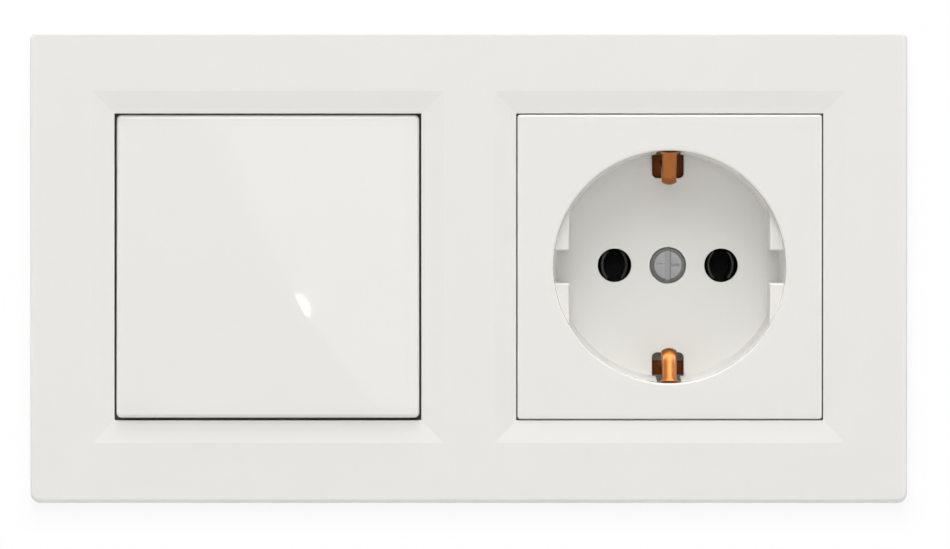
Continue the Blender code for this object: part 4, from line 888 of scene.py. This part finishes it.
def stage_plane(name, size, place, turn, finish):
    """A plane that belongs to the stage and not to the part."""
    bpy.ops.object.select_all(action="DESELECT")
    bpy.ops.mesh.primitive_plane_add(size=size, location=place, rotation=turn)
    plane = named(name)
    plane.data.materials.append(finish)
    return plane


def wall_opening(wall, width, height):
    """Open the wall behind the frame, where the flush boxes sit."""
    with editing(wall):
        bpy.ops.mesh.select_all(action="SELECT")
        bpy.ops.mesh.inset(thickness=0.1, depth=0)
        for vert in [v for v in bmesh.from_edit_mesh(wall.data).verts if v.select]:
            vert.co.x = math.copysign(width / 2 * MM, vert.co.x)
            vert.co.z = math.copysign(height / 2 * MM, vert.co.z)
        bmesh.update_edit_mesh(wall.data)
        bpy.ops.mesh.delete(type="FACE")


UPRIGHT = (math.radians(90), 0, 0)
wall_white = stage_finish("wall_white", glow=0.81, share=0.20, colour=(0.9, 0.9, 0.9), reach=7.0)
wall = stage_plane("wall", 0.8, (0, 0, 0), UPRIGHT, wall_white)
wall_opening(wall, width=144.0, height=72.0)
floor_white = stage_finish("floor_white", glow=0.90, share=0.15, colour=(0.7, 0.7, 0.7))
floor = stage_plane("floor", 6.0, (0, 0, -0.45), (0, 0, 0), floor_white)
print("wall faces", [round(c, 2) for c in wall.data.polygons[0].normal])
print("floor lies at", round(floor.data.vertices[0].co.z, 2))


# %% [markdown]
# ## Light
# A photograph like this is taken in a light tent: soft light from all round, somewhat stronger from above. The
# world gives the even part. A large lamp above the camera and a smaller one near the ceiling give the
# direction, and a weak one in front lightens the well. Two panels at the sides show only in reflections, along
# the rounded edges. So does a card in front: it draws the pale field with the slanting edge and the bright
# spot on the rocker.


# %% World
def light_world(low, high):
    """Even white light, low from below and high from above; the camera and mirrors see plain white."""
    world = bpy.data.worlds.new("tent")
    bpy.context.scene.world = world
    world.use_nodes = True
    tree = world.node_tree
    tree.nodes.clear()

    def add(kind, **settings):
        made = tree.nodes.new(kind)
        for key, value in settings.items():
            setattr(made, key, value)
        return made

    where = add("ShaderNodeTexCoord")
    split = add("ShaderNodeSeparateXYZ")
    ramp = add("ShaderNodeMapRange")
    ramp.inputs["From Min"].default_value, ramp.inputs["From Max"].default_value = -1.0, 1.0
    ramp.inputs["To Min"].default_value, ramp.inputs["To Max"].default_value = low, high
    soft, plain = add("ShaderNodeBackground"), add("ShaderNodeBackground")
    path, total, more = add("ShaderNodeLightPath"), add("ShaderNodeMath"), add("ShaderNodeMath")
    total.use_clamp = more.use_clamp = True
    mix, out = add("ShaderNodeMixShader"), add("ShaderNodeOutputWorld")
    link = tree.links.new
    link(where.outputs["Generated"], split.inputs[0])
    link(split.outputs["Z"], ramp.inputs["Value"])
    link(ramp.outputs["Result"], soft.inputs["Strength"])
    link(path.outputs["Is Camera Ray"], total.inputs[0])
    link(path.outputs["Is Glossy Ray"], total.inputs[1])
    link(total.outputs[0], more.inputs[0])
    link(path.outputs["Is Transmission Ray"], more.inputs[1])
    link(more.outputs[0], mix.inputs[0])
    link(soft.outputs[0], mix.inputs[1])
    link(plain.outputs[0], mix.inputs[2])
    link(mix.outputs[0], out.inputs["Surface"])
    for background in (soft, plain):
        background.inputs["Color"].default_value = (1, 1, 1, 1)


light_world(low=0.09, high=0.52)
print("world:", bpy.context.scene.world.name)


# %% Lamps
def lamp(name, place, size, power, diffuse=True, glossy=True):
    """A rectangular lamp at a place, aimed at the middle of the wall; the camera never sees it."""
    data = bpy.data.lights.new(name, "AREA")
    data.shape = "RECTANGLE"
    data.size, data.size_y = size
    data.energy = power
    light = bpy.data.objects.new(name, data)
    bpy.context.scene.collection.objects.link(light)
    light.location = place
    light.rotation_euler = (-Vector(place)).to_track_quat("-Z", "Y").to_euler()
    light.visible_camera = False
    light.visible_diffuse = diffuse
    light.visible_glossy = glossy
    return light


lamp("key", (-0.1, -2.4, 2.4), (1.2, 2.6), 44.5)
lamp("ceiling", (0.0, -0.5, 2.0), (1.2, 0.8), 14.5)
lamp("front", (0.0, -4.0, 0.64), (0.9, 0.75), 14.0, glossy=False)
lamp("right_panel", (1.2, -1.0, 0.1), (1.4, 1.0), 9.0, diffuse=False)
lamp("left_panel", (-1.5, -0.6, 0.1), (1.4, 1.0), 8.0, diffuse=False)


# %% Reflection card
CARD_Y, CARD_LEFT, CARD_RIGHT, CARD_LOW, CARD_HIGH = -2.5, -0.150, 0.140, -0.010, 0.340
CARD_EDGE = [(-0.128, 0.265), (-0.110, 0.203), (-0.081, 0.1405), (-0.052, 0.086), (-0.022, 0.046),
             (0.016, 0.002)]
SPOT, SPOT_RADIUS = (-0.0645, CARD_Y, 0.0935), 0.0165


def card_finish(field, hot):
    """A plain glow, with a much brighter spot that the card's slanting edge cuts."""
    finish = Finish("card_glow", {})
    away = finish.node("ShaderNodeVectorMath", {"operation": "DISTANCE"}, {0: finish.place(), 1: SPOT}, "Value")
    near = finish.rise(away, SPOT_RADIUS, SPOT_RADIUS * 0.6, "SMOOTHSTEP")
    plain = finish.node("ShaderNodeEmission", inputs={"Strength": field})
    bright = finish.node("ShaderNodeEmission", inputs={"Strength": hot})
    mixed = finish.node("ShaderNodeMixShader", inputs={0: near, 1: plain, 2: bright})
    finish.tree.links.new(mixed.socket, finish.tree.nodes["Material Output"].inputs["Surface"])
    return finish.material


card = stage_plane("card", 1.0, (0, CARD_Y, 0), UPRIGHT, card_finish(field=1.75, hot=16.0))
with editing(card):
    bpy.ops.mesh.select_all(action="SELECT")
    bpy.ops.transform.resize(value=(CARD_RIGHT - CARD_LEFT, 1, CARD_HIGH - CARD_LOW))
    bpy.ops.transform.translate(value=((CARD_LEFT + CARD_RIGHT) / 2, 0, (CARD_LOW + CARD_HIGH) / 2))
    for high, low in zip(CARD_EDGE, CARD_EDGE[1:]):
        slant = Vector((high[1] - low[1], 0, low[0] - high[0])).normalized()
        bpy.ops.mesh.select_all(action="SELECT")
        bpy.ops.mesh.bisect(plane_co=(low[0], 0, low[1]), plane_no=slant, clear_inner=True)
card.visible_camera = card.visible_diffuse = card.visible_shadow = False
print("card corners:", len(card.data.vertices))

# %% [markdown]
# ## Camera
# The picture is taken from almost straight ahead and far away, with a long lens, a little above the middle.

# %% Camera
aim = Vector((0.0011, 0.0, -0.0015))
bpy.ops.object.select_all(action="DESELECT")
bpy.ops.object.camera_add(location=(0.0011, -1.8, 0.031))
camera = bpy.context.object
camera.name = "camera"
camera.rotation_euler = (aim - camera.location).to_track_quat("-Z", "Y").to_euler()
camera.data.sensor_width = 36.0
camera.data.lens = 384.0
bpy.context.scene.camera = camera
bpy.context.scene.view_settings.view_transform = "Standard"
print("camera lens", camera.data.lens)
